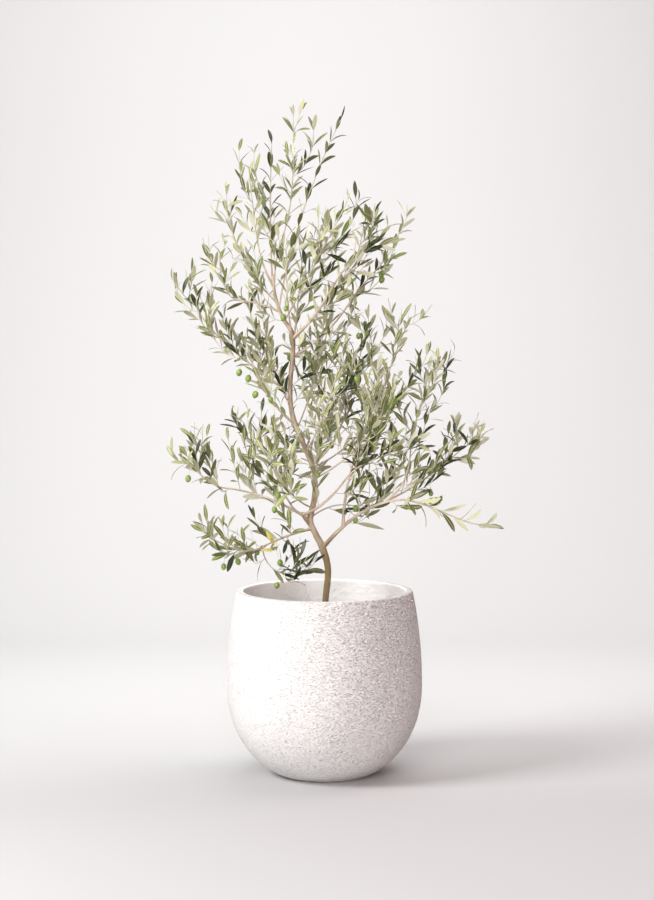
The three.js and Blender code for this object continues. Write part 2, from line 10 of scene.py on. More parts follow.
import bpy
import numpy as np
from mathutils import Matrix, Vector

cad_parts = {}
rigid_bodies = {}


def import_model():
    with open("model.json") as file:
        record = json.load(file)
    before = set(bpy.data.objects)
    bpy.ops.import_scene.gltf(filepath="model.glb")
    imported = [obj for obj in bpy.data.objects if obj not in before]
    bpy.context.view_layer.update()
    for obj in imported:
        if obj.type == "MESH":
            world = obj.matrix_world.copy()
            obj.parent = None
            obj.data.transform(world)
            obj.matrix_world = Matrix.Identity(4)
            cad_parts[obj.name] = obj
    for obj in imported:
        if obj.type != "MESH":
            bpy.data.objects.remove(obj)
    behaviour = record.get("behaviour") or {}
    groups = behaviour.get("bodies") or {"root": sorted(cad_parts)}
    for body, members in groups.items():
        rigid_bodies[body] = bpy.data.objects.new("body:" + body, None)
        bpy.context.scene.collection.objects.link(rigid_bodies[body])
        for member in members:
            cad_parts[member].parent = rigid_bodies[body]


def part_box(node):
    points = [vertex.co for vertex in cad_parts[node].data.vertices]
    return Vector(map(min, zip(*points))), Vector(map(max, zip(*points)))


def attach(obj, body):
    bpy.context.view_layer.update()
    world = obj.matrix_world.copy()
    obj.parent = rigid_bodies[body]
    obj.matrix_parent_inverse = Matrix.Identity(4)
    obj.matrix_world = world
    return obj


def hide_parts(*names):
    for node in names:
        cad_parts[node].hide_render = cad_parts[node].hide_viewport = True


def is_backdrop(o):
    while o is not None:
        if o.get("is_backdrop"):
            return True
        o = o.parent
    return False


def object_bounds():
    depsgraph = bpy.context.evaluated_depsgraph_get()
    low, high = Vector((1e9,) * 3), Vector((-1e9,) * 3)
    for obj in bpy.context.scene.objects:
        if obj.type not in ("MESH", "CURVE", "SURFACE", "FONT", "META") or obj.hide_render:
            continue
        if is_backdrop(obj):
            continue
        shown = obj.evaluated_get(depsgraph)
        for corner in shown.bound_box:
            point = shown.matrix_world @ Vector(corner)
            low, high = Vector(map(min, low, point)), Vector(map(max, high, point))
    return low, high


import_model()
cad_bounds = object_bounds()


# The planter is one thick bowl, cast in white fibre cement against coarse sand and stood on its small flat
# foot. The sand left level ridges, gaps and pits all over the outside, and the relief is deepest towards the
# right. Painted shade darkens the gaps, specks and pits, more on the right and most near the lip there. The
# lip and the inner wall were trowelled smooth, and the inner wall is painted lighter than the outside.

MM = 0.001
POT_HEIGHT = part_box("pot")[1].z
POT_BELLY_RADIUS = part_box("pot")[1].x
POT_BELLY_HEIGHT = 185 * MM
POT_RIM_RADIUS = 178 * MM
POT_FOOT_RADIUS = 80 * MM
POT_WALL = 15 * MM
POT_LIP_ROUND = 2.5 * MM
POT_LIP_POINTS = 5
POT_FLOOR = 18 * MM
POT_BURIED_RINGS = 8
BOWL_FULLNESS = 2.2
BOWL_TURN = 0.65
POT_SEGMENTS = 400
POT_STEP = 2.6 * MM
HEIGHT_SAMPLES = 4000
FOOT_FADE = 5 * MM
INNER_ROUGHNESS = 0.12

# The modelled relief. A span is the stretch of a noise over which a mark comes in.
RIDGE_SIZE = 9 * MM
RIDGE_FLATNESS = 1.9
RIDGE_SPAN = (0.35, 0.7)
RIDGE_DEPTH = 0.6 * MM
PIT_SPAN = (0.58, 0.7)
PIT_DEPTH = 0.8 * MM
PIT_PATCH_SIZE = 60 * MM
PIT_PATCH_SPAN = (0.3, 0.62)
WAVE_SIZE = 35 * MM

# The finish's own fine marks. Over a stretch from left to right, in metres, their relief grows deeper and
# their painted shade darker.
CLOUD_SIZE = 90 * MM
CLOUD_SPAN = (0.35, 0.7)
GRAIN_SIZE = 1.4 * MM
WORM_SIZE = 5.5 * MM
WORM_FLATNESS = 3.2
WORM_SPAN = (0.36, 0.6)
WORM_DEPTH = 1.5 * MM
SPECK_SIZE = 4.2 * MM
SPECK_SPAN = (0.41, 0.32)
SPECK_PATCH_SIZE = 50 * MM
SPECK_PATCH_SPAN = (0.35, 0.65)
TROWEL_SIZE = 22 * MM
INNER_SPAN = (0.3, 0.15)
RIGHT_RELIEF_AND_SHADE_SPAN = (-0.14, 0.2)
WARM_CLOUDS, WARM_LIP, WARM_GRAIN = 0.3, 0.4, 0.3
# Shares of painted shade in the gaps, specks and pits: more on the right, most near the lip there, and in
# patches.
GAP_PAINTED_SHADE, GAP_PAINTED_SHADE_RIGHT, GAP_PAINTED_SHADE_TOP = 0.05, 0.06, 0.5
SPECK_PAINTED_SHADE, SPECK_PAINTED_SHADE_RIGHT, SPECK_PAINTED_SHADE_TOP, SPECK_PAINTED_SHADE_PATCHES = 0.2, 0.22, 0.6, 0.15
PIT_PAINTED_SHADE_SHARE = 0.35
INNER_PAINTED_LIGHT_SHARE = 0.95
GRAIN_HEIGHT, GAP_HEIGHT, SPECK_HEIGHT, TROWEL_HEIGHT = 0.25, 0.7, 1.4, 1.8
EVEN_RELIEF, DEEPER_RELIEF = 0.55, 0.55
CAST_ROUGHNESS, CAST_ROUGHNESS_SPREAD = 0.82, 0.15
CAST_WHITE = (0.715, 0.702, 0.697, 1)
CAST_WARM = (0.71, 0.678, 0.662, 1)
# The colour of the painted shade in the gaps, specks and pits.
PAINTED_CAVITY_SHADE = (0.3, 0.24, 0.225, 1)
# The inner wall's colour, painted lighter than the cement outside.
INNER_PAINTED_LIGHT = (0.955, 0.935, 0.92, 1)


class Value:
    """A node's output. Python's operators on it add the Math nodes that they stand for."""

    def __init__(self, graph, socket):
        self.graph = graph
        self.socket = socket

    def math(self, operation, first, second=0.0):
        sockets = {"Value": first, "Value_001": second}
        return self.graph.node("ShaderNodeMath", {"operation": operation}, sockets)

    def __add__(self, other):
        return self.math("ADD", self, other)

    def __sub__(self, other):
        return self.math("SUBTRACT", self, other)

    def __mul__(self, other):
        return self.math("MULTIPLY", self, other)

    def __rsub__(self, other):
        return self.math("SUBTRACT", other, self)

    __radd__ = __add__
    __rmul__ = __mul__


class Graph:
    """A node tree that is built by calls."""

    def __init__(self, tree):
        self.tree = tree

    def node(self, kind, settings=None, sockets=None, output=0):
        """Adds a node: its type, settings, sockets' values or links, and the output that is wanted."""
        made = self.tree.nodes.new(kind)
        for name, value in (settings or {}).items():
            setattr(made, name, value)
        inputs = {socket.identifier: socket for socket in made.inputs}
        for name, value in (sockets or {}).items():
            for one in value if isinstance(value, list) else [value]:
                if isinstance(one, Value):
                    self.tree.links.new(one.socket, inputs[name])
                else:
                    inputs[name].default_value = one
        if not made.outputs:
            return None
        chosen = made.outputs[output] if isinstance(output, int) else None
        for socket in made.outputs:
            if socket.identifier == output:
                chosen = socket
        return Value(self, chosen)

    def vector(self, operation, first, second=None, scale=1.0):
        """Vector Math on one or two vectors."""
        sockets = {"Vector": first, "Scale": scale}
        if second is not None:
            sockets["Vector_001"] = second
        return self.node("ShaderNodeVectorMath", {"operation": operation}, sockets)

    def colour_mix(self, share, first, second):
        """A mix of two colours."""
        sockets = {"Factor_Float": share, "A_Color": first, "B_Color": second}
        return self.node("ShaderNodeMix", {"data_type": "RGBA"}, sockets, "Result_Color")

    def step(self, value, low, high):
        """A smooth rise from 0 to 1 as a value goes from low to high."""
        sockets = {"Value": value, "From Min": low, "From Max": high}
        return self.node("ShaderNodeMapRange", {"interpolation_type": "SMOOTHSTEP"}, sockets)

    def noise(self, place, size, span=None, detail=2.0, roughness=0.5, distortion=0.0):
        """Noise whose patches are about a given size, and go from 0 to 1 over a span if there is one."""
        sockets = {"Vector": place, "Scale": 1 / size, "Detail": detail, "Roughness": roughness}
        sockets["Distortion"] = distortion
        value = self.node("ShaderNodeTexNoise", None, sockets)
        return self.step(value, *span) if span else value

    def dots(self, place, size, span):
        """Dots in the middles of Voronoi cells of about a given size."""
        sockets = {"Vector": place, "Scale": 1 / size}
        return self.step(self.node("ShaderNodeTexVoronoi", None, sockets, "Distance"), *span)

    def object_place(self):
        """A material's place on the object, which never slides over it."""
        return self.node("ShaderNodeTexCoord", None, None, "Object")

    def coordinate(self, vector, axis):
        """One coordinate of a vector."""
        return self.node("ShaderNodeSeparateXYZ", None, {"Vector": vector}, axis)

    def attribute(self, name, output="Fac"):
        """An attribute of the mesh, in a material."""
        return self.node("ShaderNodeAttribute", {"attribute_name": name}, None, output)

    def read(self, name, kind="FLOAT"):
        """An attribute of the geometry, in a tree."""
        return self.node("GeometryNodeInputNamedAttribute", {"data_type": kind}, {"Name": name})

    def keep(self, geometry, name, value, kind="FLOAT", domain="POINT"):
        """The geometry with a value kept on it as an attribute, in a tree."""
        sockets = {"Geometry": geometry, "Name": name, "Value": value}
        settings = {"data_type": kind, "domain": domain}
        return self.node("GeometryNodeStoreNamedAttribute", settings, sockets)

    def pushed(self, geometry, distance):
        """The geometry with its points moved along their normals, in a tree."""
        offset = self.vector("SCALE", self.node("GeometryNodeInputNormal"), scale=distance)
        return self.node("GeometryNodeSetPosition", None, {"Geometry": geometry, "Offset": offset})

    def random(self, low, high, seed):
        """A random number for each instance, or a vector between two vectors, in a tree."""
        if isinstance(low, tuple):
            sockets = {"Min": low, "Max": high, "Seed": seed}
            return self.node("FunctionNodeRandomValue", {"data_type": "FLOAT_VECTOR"}, sockets)
        sockets = {"Min_001": low, "Max_001": high, "Seed": seed}
        return self.node("FunctionNodeRandomValue", {"data_type": "FLOAT"}, sockets, "Value_001")

    def bump(self, height, distance, strength=1.0):
        """The normal that a height over the surface gives."""
        sockets = {"Height": height, "Distance": distance, "Strength": strength}
        return self.node("ShaderNodeBump", None, sockets)


def finish(name, constants, build):
    """A material: the shader's own constants, and build, which gives the sockets that vary over it."""
    material = bpy.data.materials.new(name)
    material.use_nodes = True
    material.node_tree.nodes.clear()
    graph = Graph(material.node_tree)
    shader = graph.node("ShaderNodeBsdfPrincipled", None, {**constants, **build(graph)})
    graph.node("ShaderNodeOutputMaterial", None, {"Surface": shader})
    return material


def new_tree(name, inputs):
    """A geometry node tree with named inputs after its geometry, and the values that read them."""
    tree = bpy.data.node_groups.new(name, "GeometryNodeTree")
    tree.interface.new_socket("Geometry", in_out="OUTPUT", socket_type="NodeSocketGeometry")
    for label, kind in {"Geometry": "Geometry", **inputs}.items():
        tree.interface.new_socket(label, in_out="INPUT", socket_type="NodeSocket" + kind)
    graph = Graph(tree)
    entry = tree.nodes.new("NodeGroupInput")
    return graph, {socket.name: Value(graph, socket) for socket in entry.outputs if socket.name}


def end_tree(graph, geometry, finishes):
    """The end of a tree: instances realized, smooth shading, and each finish on the faces chosen for it."""
    geometry = graph.node("GeometryNodeRealizeInstances", None, {"Geometry": geometry})
    geometry = graph.node("GeometryNodeSetShadeSmooth", None, {"Geometry": geometry})
    for material, chosen in finishes:
        sockets = {"Geometry": geometry, "Material": material, "Selection": chosen}
        geometry = graph.node("GeometryNodeSetMaterial", None, sockets)
    graph.node("NodeGroupOutput", None, {graph.tree.interface.items_tree[0].identifier: geometry})


def placed(name, data):
    """A new object in the scene."""
    made = bpy.data.objects.new(name, data)
    bpy.context.scene.collection.objects.link(made)
    return made


def grown(name, mesh, graph, inputs):
    """The plain mesh object that a tree makes of a mesh."""
    source = placed(name + "_source", mesh)
    modifier = source.modifiers.new("growth", "NODES")
    modifier.node_group = graph.tree
    for item in graph.tree.interface.items_tree:
        if item.in_out == "INPUT" and item.name in inputs:
            modifier[item.identifier] = inputs[item.name]
    evaluated = source.evaluated_get(bpy.context.evaluated_depsgraph_get())
    made = bpy.data.meshes.new_from_object(evaluated)
    bpy.data.objects.remove(source)
    return placed(name, made)


def settle(piece, slot, *nodes):
    """A finished piece rides with the plant and stands for the given solids. Its slot is not used."""
    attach(piece, "root")
    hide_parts(*nodes)


def keep(mesh, name, values, kind="FLOAT", domain="POINT"):
    """Keeps a value for each point, edge or face of a mesh as an attribute."""
    field = "vector" if kind == "FLOAT_VECTOR" else "value"
    mesh.attributes.new(name, kind, domain).data.foreach_set(field, np.ravel(values).tolist())


def lathe_mesh(name, profile, segments):
    """A closed mesh turned round Z. The profile runs from the axis back to it, its outside on its right."""
    radii, heights = np.array(profile[1:-1]).T
    angles = 2 * math.pi * np.arange(segments) / segments
    rings = np.empty((len(radii), segments, 3))
    rings[..., 0] = radii[:, None] * np.cos(angles)
    rings[..., 1] = radii[:, None] * np.sin(angles)
    rings[..., 2] = heights[:, None]
    first = rings.size // 3
    ends = [[0, 0, profile[0][1]], [0, 0, profile[-1][1]]]
    index = np.arange(first).reshape(len(radii), segments)
    turned = np.roll(index, -1, axis=1)
    faces = np.stack([index[:-1], turned[:-1], turned[1:], index[1:]], axis=-1).reshape(-1, 4).tolist()
    faces += [[first, b, a] for a, b in zip(index[0], turned[0])]
    faces += [[first + 1, a, b] for a, b in zip(index[-1], turned[-1])]
    mesh = bpy.data.meshes.new(name)
    mesh.from_pydata(np.vstack([rings.reshape(-1, 3), ends]), [], faces)
    return mesh


def pot_radius(height):
    """The planter's outer radius: a bowl up to the belly, then a slow lean in to the lip."""
    above = (height - POT_BELLY_HEIGHT) / (POT_HEIGHT - POT_BELLY_HEIGHT)
    below = np.clip(1 - height / POT_BELLY_HEIGHT, 0, 1)
    bowl = (1 - below**BOWL_FULLNESS) ** BOWL_TURN
    under = POT_FOOT_RADIUS + (POT_BELLY_RADIUS - POT_FOOT_RADIUS) * bowl
    over = POT_BELLY_RADIUS + (POT_RIM_RADIUS - POT_BELLY_RADIUS) * above**2
    return np.where(height >= POT_BELLY_HEIGHT, over, under)


def even_heights(low, high, step):
    """Heights up the planter's wall whose points lie about one step apart along it."""
    heights = low + (high - low) * np.linspace(0, 1, HEIGHT_SAMPLES) ** 2
    lengths = np.hypot(np.diff(heights), np.diff(pot_radius(heights)))
    along = np.concatenate([[0], np.cumsum(lengths)])
    return np.interp(np.linspace(0, along[-1], round(along[-1] / step)), along, heights)


def lip(centre, start, end):
    """The points of a rounded edge of the lip, between two angles."""
    for angle in np.linspace(start, end, POT_LIP_POINTS):
        yield centre + POT_LIP_ROUND * math.cos(angle), lip_height + POT_LIP_ROUND * math.sin(angle)


lip_height = POT_HEIGHT - POT_LIP_ROUND
soil_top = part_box("soil")[1].z
outer_heights = even_heights(0, lip_height, POT_STEP)[:-1]
bare_heights = np.arange(lip_height, soil_top - POT_STEP, -2 * POT_STEP)
inner_heights = [*bare_heights, *np.linspace(soil_top, POT_FLOOR, POT_BURIED_RINGS)]
pot_profile = [
    (0, 0),
    (POT_FOOT_RADIUS / 2, 0),
    *((float(pot_radius(height)), height) for height in outer_heights),
    *lip(POT_RIM_RADIUS - POT_LIP_ROUND, 0, math.pi / 2),
    *lip(POT_RIM_RADIUS - POT_WALL + POT_LIP_ROUND, math.pi / 2, math.pi),
    *((float(pot_radius(height)) - POT_WALL, height) for height in inner_heights[1:]),
    (0, POT_FLOOR),
]
pot_mesh = lathe_mesh("planter", pot_profile, POT_SEGMENTS)

# How rough each point is: in full on the outside, fading out at the foot, and hardly inside.
points = np.array([vertex.co for vertex in pot_mesh.vertices])
is_outside = np.hypot(points[:, 0], points[:, 1]) > pot_radius(points[:, 2]) - POT_WALL / 2
outer_rough = np.clip(points[:, 2] / FOOT_FADE, 0, 1)
keep(pot_mesh, "rough", np.where(is_outside, outer_rough, INNER_ROUGHNESS))

graph, given = new_tree("cast_relief", {"Ridges": "Float", "Pits": "Float", "Finish": "Material"})
rough_here = graph.read("rough")
place = graph.node("GeometryNodeInputPosition")
flat = graph.vector("MULTIPLY", place, (1, 1, RIDGE_FLATNESS))
ridges = graph.noise(flat, RIDGE_SIZE, RIDGE_SPAN, detail=3.0, roughness=0.55, distortion=0.6)
pits = graph.noise(flat, RIDGE_SIZE / 2, PIT_SPAN, detail=1.5, distortion=0.9)
pits = pits * graph.noise(place, PIT_PATCH_SIZE, PIT_PATCH_SPAN)
waves = graph.noise(place, WAVE_SIZE)
depth = rough_here * (given["Ridges"] * (ridges + waves) + given["Pits"] * pits)
# The pits are kept as an attribute for the painted shade in them.
stored = graph.keep(given["Geometry"], "pit", pits * rough_here)
end_tree(graph, graph.pushed(stored, depth * -1), [(given["Finish"], True)])


def cast_stone(graph):
    """White cast cement with warm clouds, a sandy grain, and painted shade in its level gaps, specks and
    pits.
    """
    place = graph.object_place()
    rough = graph.attribute("rough")
    clouds = graph.noise(place, CLOUD_SIZE, CLOUD_SPAN, detail=4.0)
    grain = graph.noise(place, GRAIN_SIZE, detail=3.0, roughness=0.6)
    level = graph.vector("MULTIPLY", place, (1, 1, WORM_FLATNESS))
    gaps = (1 - graph.noise(level, WORM_SIZE, WORM_SPAN, roughness=0.6, distortion=0.4)) * rough
    specks = graph.noise(level, SPECK_SIZE, SPECK_SPAN, detail=1.0, distortion=0.3) * rough
    patches = graph.noise(place, SPECK_PATCH_SIZE, SPECK_PATCH_SPAN)
    higher = graph.step(graph.coordinate(place, "Z"), 0, POT_HEIGHT)
    # Towards the right the relief is deeper and the painted shade darker.
    relief_and_shade_right = graph.step(graph.coordinate(place, "X"), *RIGHT_RELIEF_AND_SHADE_SPAN)
    is_inner = graph.step(rough, *INNER_SPAN)
    warmth = clouds * WARM_CLOUDS + higher * WARM_LIP + grain * WARM_GRAIN
    # Painted shade in the gaps, specks and pits, darker on the right and near the lip there.
    gap_painted_shade = GAP_PAINTED_SHADE + relief_and_shade_right * (GAP_PAINTED_SHADE_RIGHT + higher * GAP_PAINTED_SHADE_TOP)
    speck_painted_shade_right = SPECK_PAINTED_SHADE_RIGHT + higher * SPECK_PAINTED_SHADE_TOP + patches * SPECK_PAINTED_SHADE_PATCHES
    colour = graph.colour_mix(warmth, CAST_WHITE, CAST_WARM)
    colour = graph.colour_mix(gaps * gap_painted_shade, colour, PAINTED_CAVITY_SHADE)
    colour = graph.colour_mix(specks * (SPECK_PAINTED_SHADE + relief_and_shade_right * speck_painted_shade_right), colour, PAINTED_CAVITY_SHADE)
    colour = graph.colour_mix(graph.attribute("pit") * PIT_PAINTED_SHADE_SHARE, colour, PAINTED_CAVITY_SHADE)
    # The inner wall is painted lighter than the outside.
    colour = graph.colour_mix(is_inner * INNER_PAINTED_LIGHT_SHARE, colour, INNER_PAINTED_LIGHT)
    marks = (gaps * GAP_HEIGHT + specks * SPECK_HEIGHT) * (EVEN_RELIEF + relief_and_shade_right * DEEPER_RELIEF)
    trowelled = graph.noise(place, TROWEL_SIZE, detail=3.0, roughness=0.6, distortion=1.0) * is_inner
    return {
        "Base Color": colour,
        "Roughness": CAST_ROUGHNESS + grain * CAST_ROUGHNESS_SPREAD,
        "Normal": graph.bump(grain * GRAIN_HEIGHT - marks + trowelled * TROWEL_HEIGHT, WORM_DEPTH),
    }


stone = finish("cast_stone", {"Specular IOR Level": 0.3}, cast_stone)
planter = grown("planter", pot_mesh, graph, {"Ridges": RIDGE_DEPTH, "Pits": PIT_DEPTH, "Finish": stone})
settle(planter, "planter_stone", "pot")


# The soil is moist potting mix: dark crumbs of peat and bark, with a few white grains of perlite.
# It fills the bowl to a hand's breadth under the lip, and the trunk goes straight down into it.

SOIL_SEGMENTS = 160
SOIL_RINGS = 14
SOIL_STEP = 3 * MM
SOIL_CLEAR = 0.3 * MM
SOIL_HEAVE = 5 * MM
HEAVE_SIZE = 45 * MM
CRUMB_SPACING = 5 * MM
CRUMB_DENSITY = 60000.0
CRUMB_SIZES = (2.2 * MM, 6 * MM)
CRUMB_STRETCHES = ((0.5, 0.5, 0.35), (1.0, 0.8, 0.6))
CRUMB_LUMP_SIZE = 0.9
CRUMB_LUMPS = 0.7
SOIL_SEED = 4
SOIL_GRAIN_SIZE = 1.2 * MM
PERLITE_SPAN = (0.965, 0.975)
SOIL_ROUGHNESS, SOIL_ROUGHNESS_SPREAD = 0.75, 0.25
SOIL_DARK = (0.035, 0.025, 0.018, 1)
SOIL_BROWN = (0.13, 0.088, 0.058, 1)
PERLITE_WHITE = (0.62, 0.59, 0.54, 1)

soil_heights = np.linspace(POT_FLOOR + SOIL_CLEAR, soil_top - SOIL_HEAVE, SOIL_RINGS)
wall_at = [float(pot_radius(height)) - POT_WALL - SOIL_CLEAR for height in soil_heights]
top_radii = np.arange(wall_at[-1] - SOIL_STEP, SOIL_STEP, -SOIL_STEP)
soil_profile = [
    (0, soil_heights[0]),
    *zip(wall_at, soil_heights),
    *((radius, soil_top - SOIL_HEAVE) for radius in top_radii),
    (0, soil_top - SOIL_HEAVE),
]
soil_mesh = lathe_mesh("soil", soil_profile, SOIL_SEGMENTS)

inputs = {"Heave": "Float", "Spacing": "Float", "Smallest": "Float", "Largest": "Float", "Seed": "Int"}
graph, given = new_tree("potting_mix", {**inputs, "Finish": "Material"})
place = graph.node("GeometryNodeInputPosition")
height = graph.coordinate(place, "Z")
is_top = height.math("GREATER_THAN", height, float(soil_top - SOIL_HEAVE - SOIL_CLEAR))
swell = graph.noise(place, HEAVE_SIZE, detail=4.0, roughness=0.6) * given["Heave"]
rise = graph.node("ShaderNodeCombineXYZ", None, {"Z": swell * is_top})
body = graph.node("GeometryNodeSetPosition", None, {"Geometry": given["Geometry"], "Offset": rise})
sockets = {"Mesh": body, "Selection": is_top, "Distance Min": given["Spacing"], "Seed": given["Seed"]}
sockets["Density Max"] = CRUMB_DENSITY
spots = graph.node("GeometryNodeDistributePointsOnFaces", {"distribute_method": "POISSON"}, sockets)
crumb = graph.node("GeometryNodeMeshIcoSphere", None, {"Radius": 1.0, "Subdivisions": 2})
crumb = graph.pushed(crumb, graph.noise(place, CRUMB_LUMP_SIZE) * CRUMB_LUMPS)
size = graph.random(given["Smallest"], given["Largest"], given["Seed"] + 1)
stretch = graph.random(*CRUMB_STRETCHES, given["Seed"] + 2)
turn = graph.random((0, 0, 0), (2 * math.pi,) * 3, given["Seed"] + 3)
sockets = {"Points": spots, "Instance": crumb, "Rotation": turn}
sockets["Scale"] = graph.vector("SCALE", stretch, scale=size)
crumbs = graph.node("GeometryNodeInstanceOnPoints", None, sockets)
shade = graph.random(0.0, 1.0, given["Seed"] + 4)
crumbs = graph.keep(crumbs, "shade", shade, domain="INSTANCE")
both = graph.node("GeometryNodeJoinGeometry", None, {"Geometry": [body, crumbs]})
end_tree(graph, both, [(given["Finish"], True)])


def potting_mix(graph):
    """Damp crumbs from near black to brown, and about one in thirty of them white."""
    place = graph.object_place()
    grain = graph.noise(place, SOIL_GRAIN_SIZE, detail=4.0, roughness=0.7)
    shade = graph.attribute("shade")
    colour = graph.colour_mix(grain * 0.5 + shade * 0.5, SOIL_DARK, SOIL_BROWN)
    colour = graph.colour_mix(graph.step(shade, *PERLITE_SPAN), colour, PERLITE_WHITE)
    return {
        "Base Color": colour,
        "Roughness": SOIL_ROUGHNESS + grain * SOIL_ROUGHNESS_SPREAD,
        "Normal": graph.bump(grain, 1 * MM, strength=0.8),
    }


damp_soil = finish("potting_mix", {"Specular IOR Level": 0.25}, potting_mix)
inputs = {"Heave": SOIL_HEAVE, "Spacing": CRUMB_SPACING, "Seed": SOIL_SEED, "Finish": damp_soil}
inputs["Smallest"], inputs["Largest"] = CRUMB_SIZES
soil = grown("soil_bed", soil_mesh, graph, inputs)
settle(soil, "potting_soil", "soil")


# The trunk and boughs are smooth young olive wood. The trunk leans and bends, swells at its fork and thins
# to a shoot, and each bough leaves it through a collar. The thin bark has fine long creases and small pores.

# The trunk's bends from the soil to its thin top: x, y, z and the wood's radius, in millimetres.
TRUNK = [
    (1, 0, 302.3, 10.5),
    (1, 0, 312, 7.6),
    (2, 0, 355, 6.2),
    (7, 1, 415, 6.6),
    (-4, 2, 459, 7.0),
    (-18, 3, 487, 6.2),
    (-29, 4, 515, 6.4),
    (-21, 3, 555, 5.6),
    (-19, 0, 592, 5.3),
    (-26, -3, 629, 5.2),
    (-54, -4, 698, 5.0),
    (-67, -2, 744, 4.9),
    (-68, 2, 795, 4.7),
    (-63, 4, 882, 4.5),
    (-84, 8, 922, 3.9),
    (-98, 12, 962, 3.4),
    (-105, 15, 1006, 2.8),
]

# Each bough: its parent, the height on the trunk or the share of the parent's length where it leaves, its
# tip, how far its middle stands off a straight line, and its radius at both ends, in millimetres.
BOUGHS = {
    "fork_stub": ("trunk", 506, (-46, -4, 531), (0, 0, -2), (5.0, 3.8)),
    "right_low": ("trunk", 459, (150, -35, 560), (0, 0, 22), (4.0, 2.3)),
    "right_riser": ("right_low", 0.27, (55, 12, 621), (-4, 0, 0), (3.2, 2.3)),
    "crossing": ("fork_stub", 0.86, (41, -45, 601), (2, -14, -8), (3.1, 2.1)),
    "left_mid": ("fork_stub", 0.8, (-198, -20, 582), (0, 6, 9), (2.6, 1.6)),
    "left_low": ("trunk", 498, (-128, -58, 466), (0, 0, 4), (2.7, 1.8)),
    "left_rise": ("left_mid", 0.1, (-105, 42, 621), (-2, 2, -6), (2.0, 1.4)),
    "left_upper": ("trunk", 773, (-190, -30, 865), (0, 0, -4), (2.8, 1.8)),
    "right_leader": ("trunk", 880, (22, -22, 993), (2, 0, -7), (3.4, 2.1)),
    "left_shelf": ("trunk", 932, (-168, -16, 956), (0, 0, 5), (2.0, 1.4)),
    "right_shelf": ("trunk", 845, (53, 55, 955), (6, 0, -10), (2.4, 1.6)),
    "right_mid": ("trunk", 629, (41, 60, 725), (6, 0, -12), (2.7, 1.7)),
    "top_centre": ("trunk", 972, (-83, 18, 1086), (-6, 0, 0), (2.1, 1.5)),
    "top_left": ("trunk", 984, (-132, 0, 1064), (-4, 0, 0), (2.3, 1.5)),
    "right_tall": ("right_riser", 0.86, (117, 34, 757), (10, 0, -12), (2.2, 1.5)),
    "right_outer": ("right_low", 0.8, (172, -8, 655), (12, 0, -10), (2.1, 1.4)),
    "right_reach": ("right_low", 0.66, (212, 24, 604), (4, 6, -4), (2.1, 1.4)),
    "arching": ("trunk", 519, (56, 38, 541), (0, 0, 11), (1.8, 1.2)),
    "hanging": ("left_low", 0.93, (-106, -70, 430), (-6, 0, 0), (1.5, 1.1)),
}
BOUGH_COLLAR = 0.35
COLLAR_FADE = 9
TRUNK_SUNK = 5
WOOD_STEP = 3
WAY_STEP = 1e-4
TRUNK_SAMPLES = 4001
LENGTH_SAMPLES = 33
TRUNK_SIDES = 28
BOUGH_SIDES = 16
BARK_SIZE = 4 * MM
BARK_STRETCH = 0.22
BARK_CREASE = 0.6 * MM
SWELLING_SIZE = 4 * BARK_SIZE
STAIN_SIZE = 5 * BARK_SIZE
PORE_SIZE = 0.8 * BARK_SIZE
PORE_SPAN = (0.18, 0.05)
PORE_SHARE = 0.35
CREASE_SHARE, STAIN_SHARE = 0.4, 0.6
MARK_SPAN = (0.4, 0.58)
BARK_THICKNESSES = (5 * MM, 2.4 * MM)
FOOT_HEIGHTS = (0.56, 0.34)
FOOT_SHARE, FOOT_SHARE_MARKED = 0.95, 0.35
BARK_ROUGHNESS, BARK_ROUGHNESS_SPREAD = 0.68, 0.25
BARK_RELIEF = 0.4 * MM
BARK_PALE = (0.63, 0.53, 0.425, 1)
BARK_GREY = (0.18, 0.118, 0.062, 1)
BARK_FOOT = (0.235, 0.17, 0.075, 1)


def mix(first, second, share):
    return first + (second - first) * share


def bezier(*controls):
    """A Bezier curve through space, as a function of the share along it."""
    controls = np.array(controls, float)

    def line(share):
        share = np.asarray(share, float)[..., None]
        places = [control + 0 * share for control in controls]
        while len(places) > 1:
            places = [mix(a, b, share) for a, b in zip(places, places[1:])]
        return places[0]

    return line


def bowed(start, end, bow):
    """A line between two points whose middle stands off the straight by the bow."""
    return bezier(start, (start + end) / 2 + 2 * bow, end)


def way_of(line, share):
    """The direction of a line at a share of it."""
    ahead = line(np.clip(share + WAY_STEP, 0, 1)) - line(np.clip(share - WAY_STEP, 0, 1))
    return ahead / np.linalg.norm(ahead, axis=-1, keepdims=True)


trunk_knots = np.array(TRUNK, float)


def trunk_line(share):
    """The trunk's centre line, which runs smoothly through every bend."""
    places = trunk_knots[:, :3]
    padded = np.vstack([2 * places[0] - places[1], places, 2 * places[-1] - places[-2]])
    station = np.asarray(share, float) * (len(places) - 1)
    below = np.minimum(station.astype(int), len(places) - 2)
    part = (station - below)[..., None]
    before, start, end, after = (padded[below + i] for i in range(4))
    leaving, arriving = (end - before) / 2, (after - start) / 2
    square = -3 * start + 3 * end - 2 * leaving - arriving
    cube = 2 * start - 2 * end + leaving + arriving
    return start + leaving * part + square * part**2 + cube * part**3


def trunk_radius(share):
    return np.interp(np.asarray(share) * (len(TRUNK) - 1), np.arange(len(TRUNK)), trunk_knots[:, 3])


def trunk_share(height):
    """The share of the trunk at which it passes a height."""
    shares = np.linspace(0, 1, TRUNK_SAMPLES)
    return float(np.interp(height, trunk_line(shares)[:, 2], shares))


def bough_radius(radii):
    return lambda share: mix(*radii, share) * (1 + BOUGH_COLLAR * np.exp(-COLLAR_FADE * np.asarray(share)))


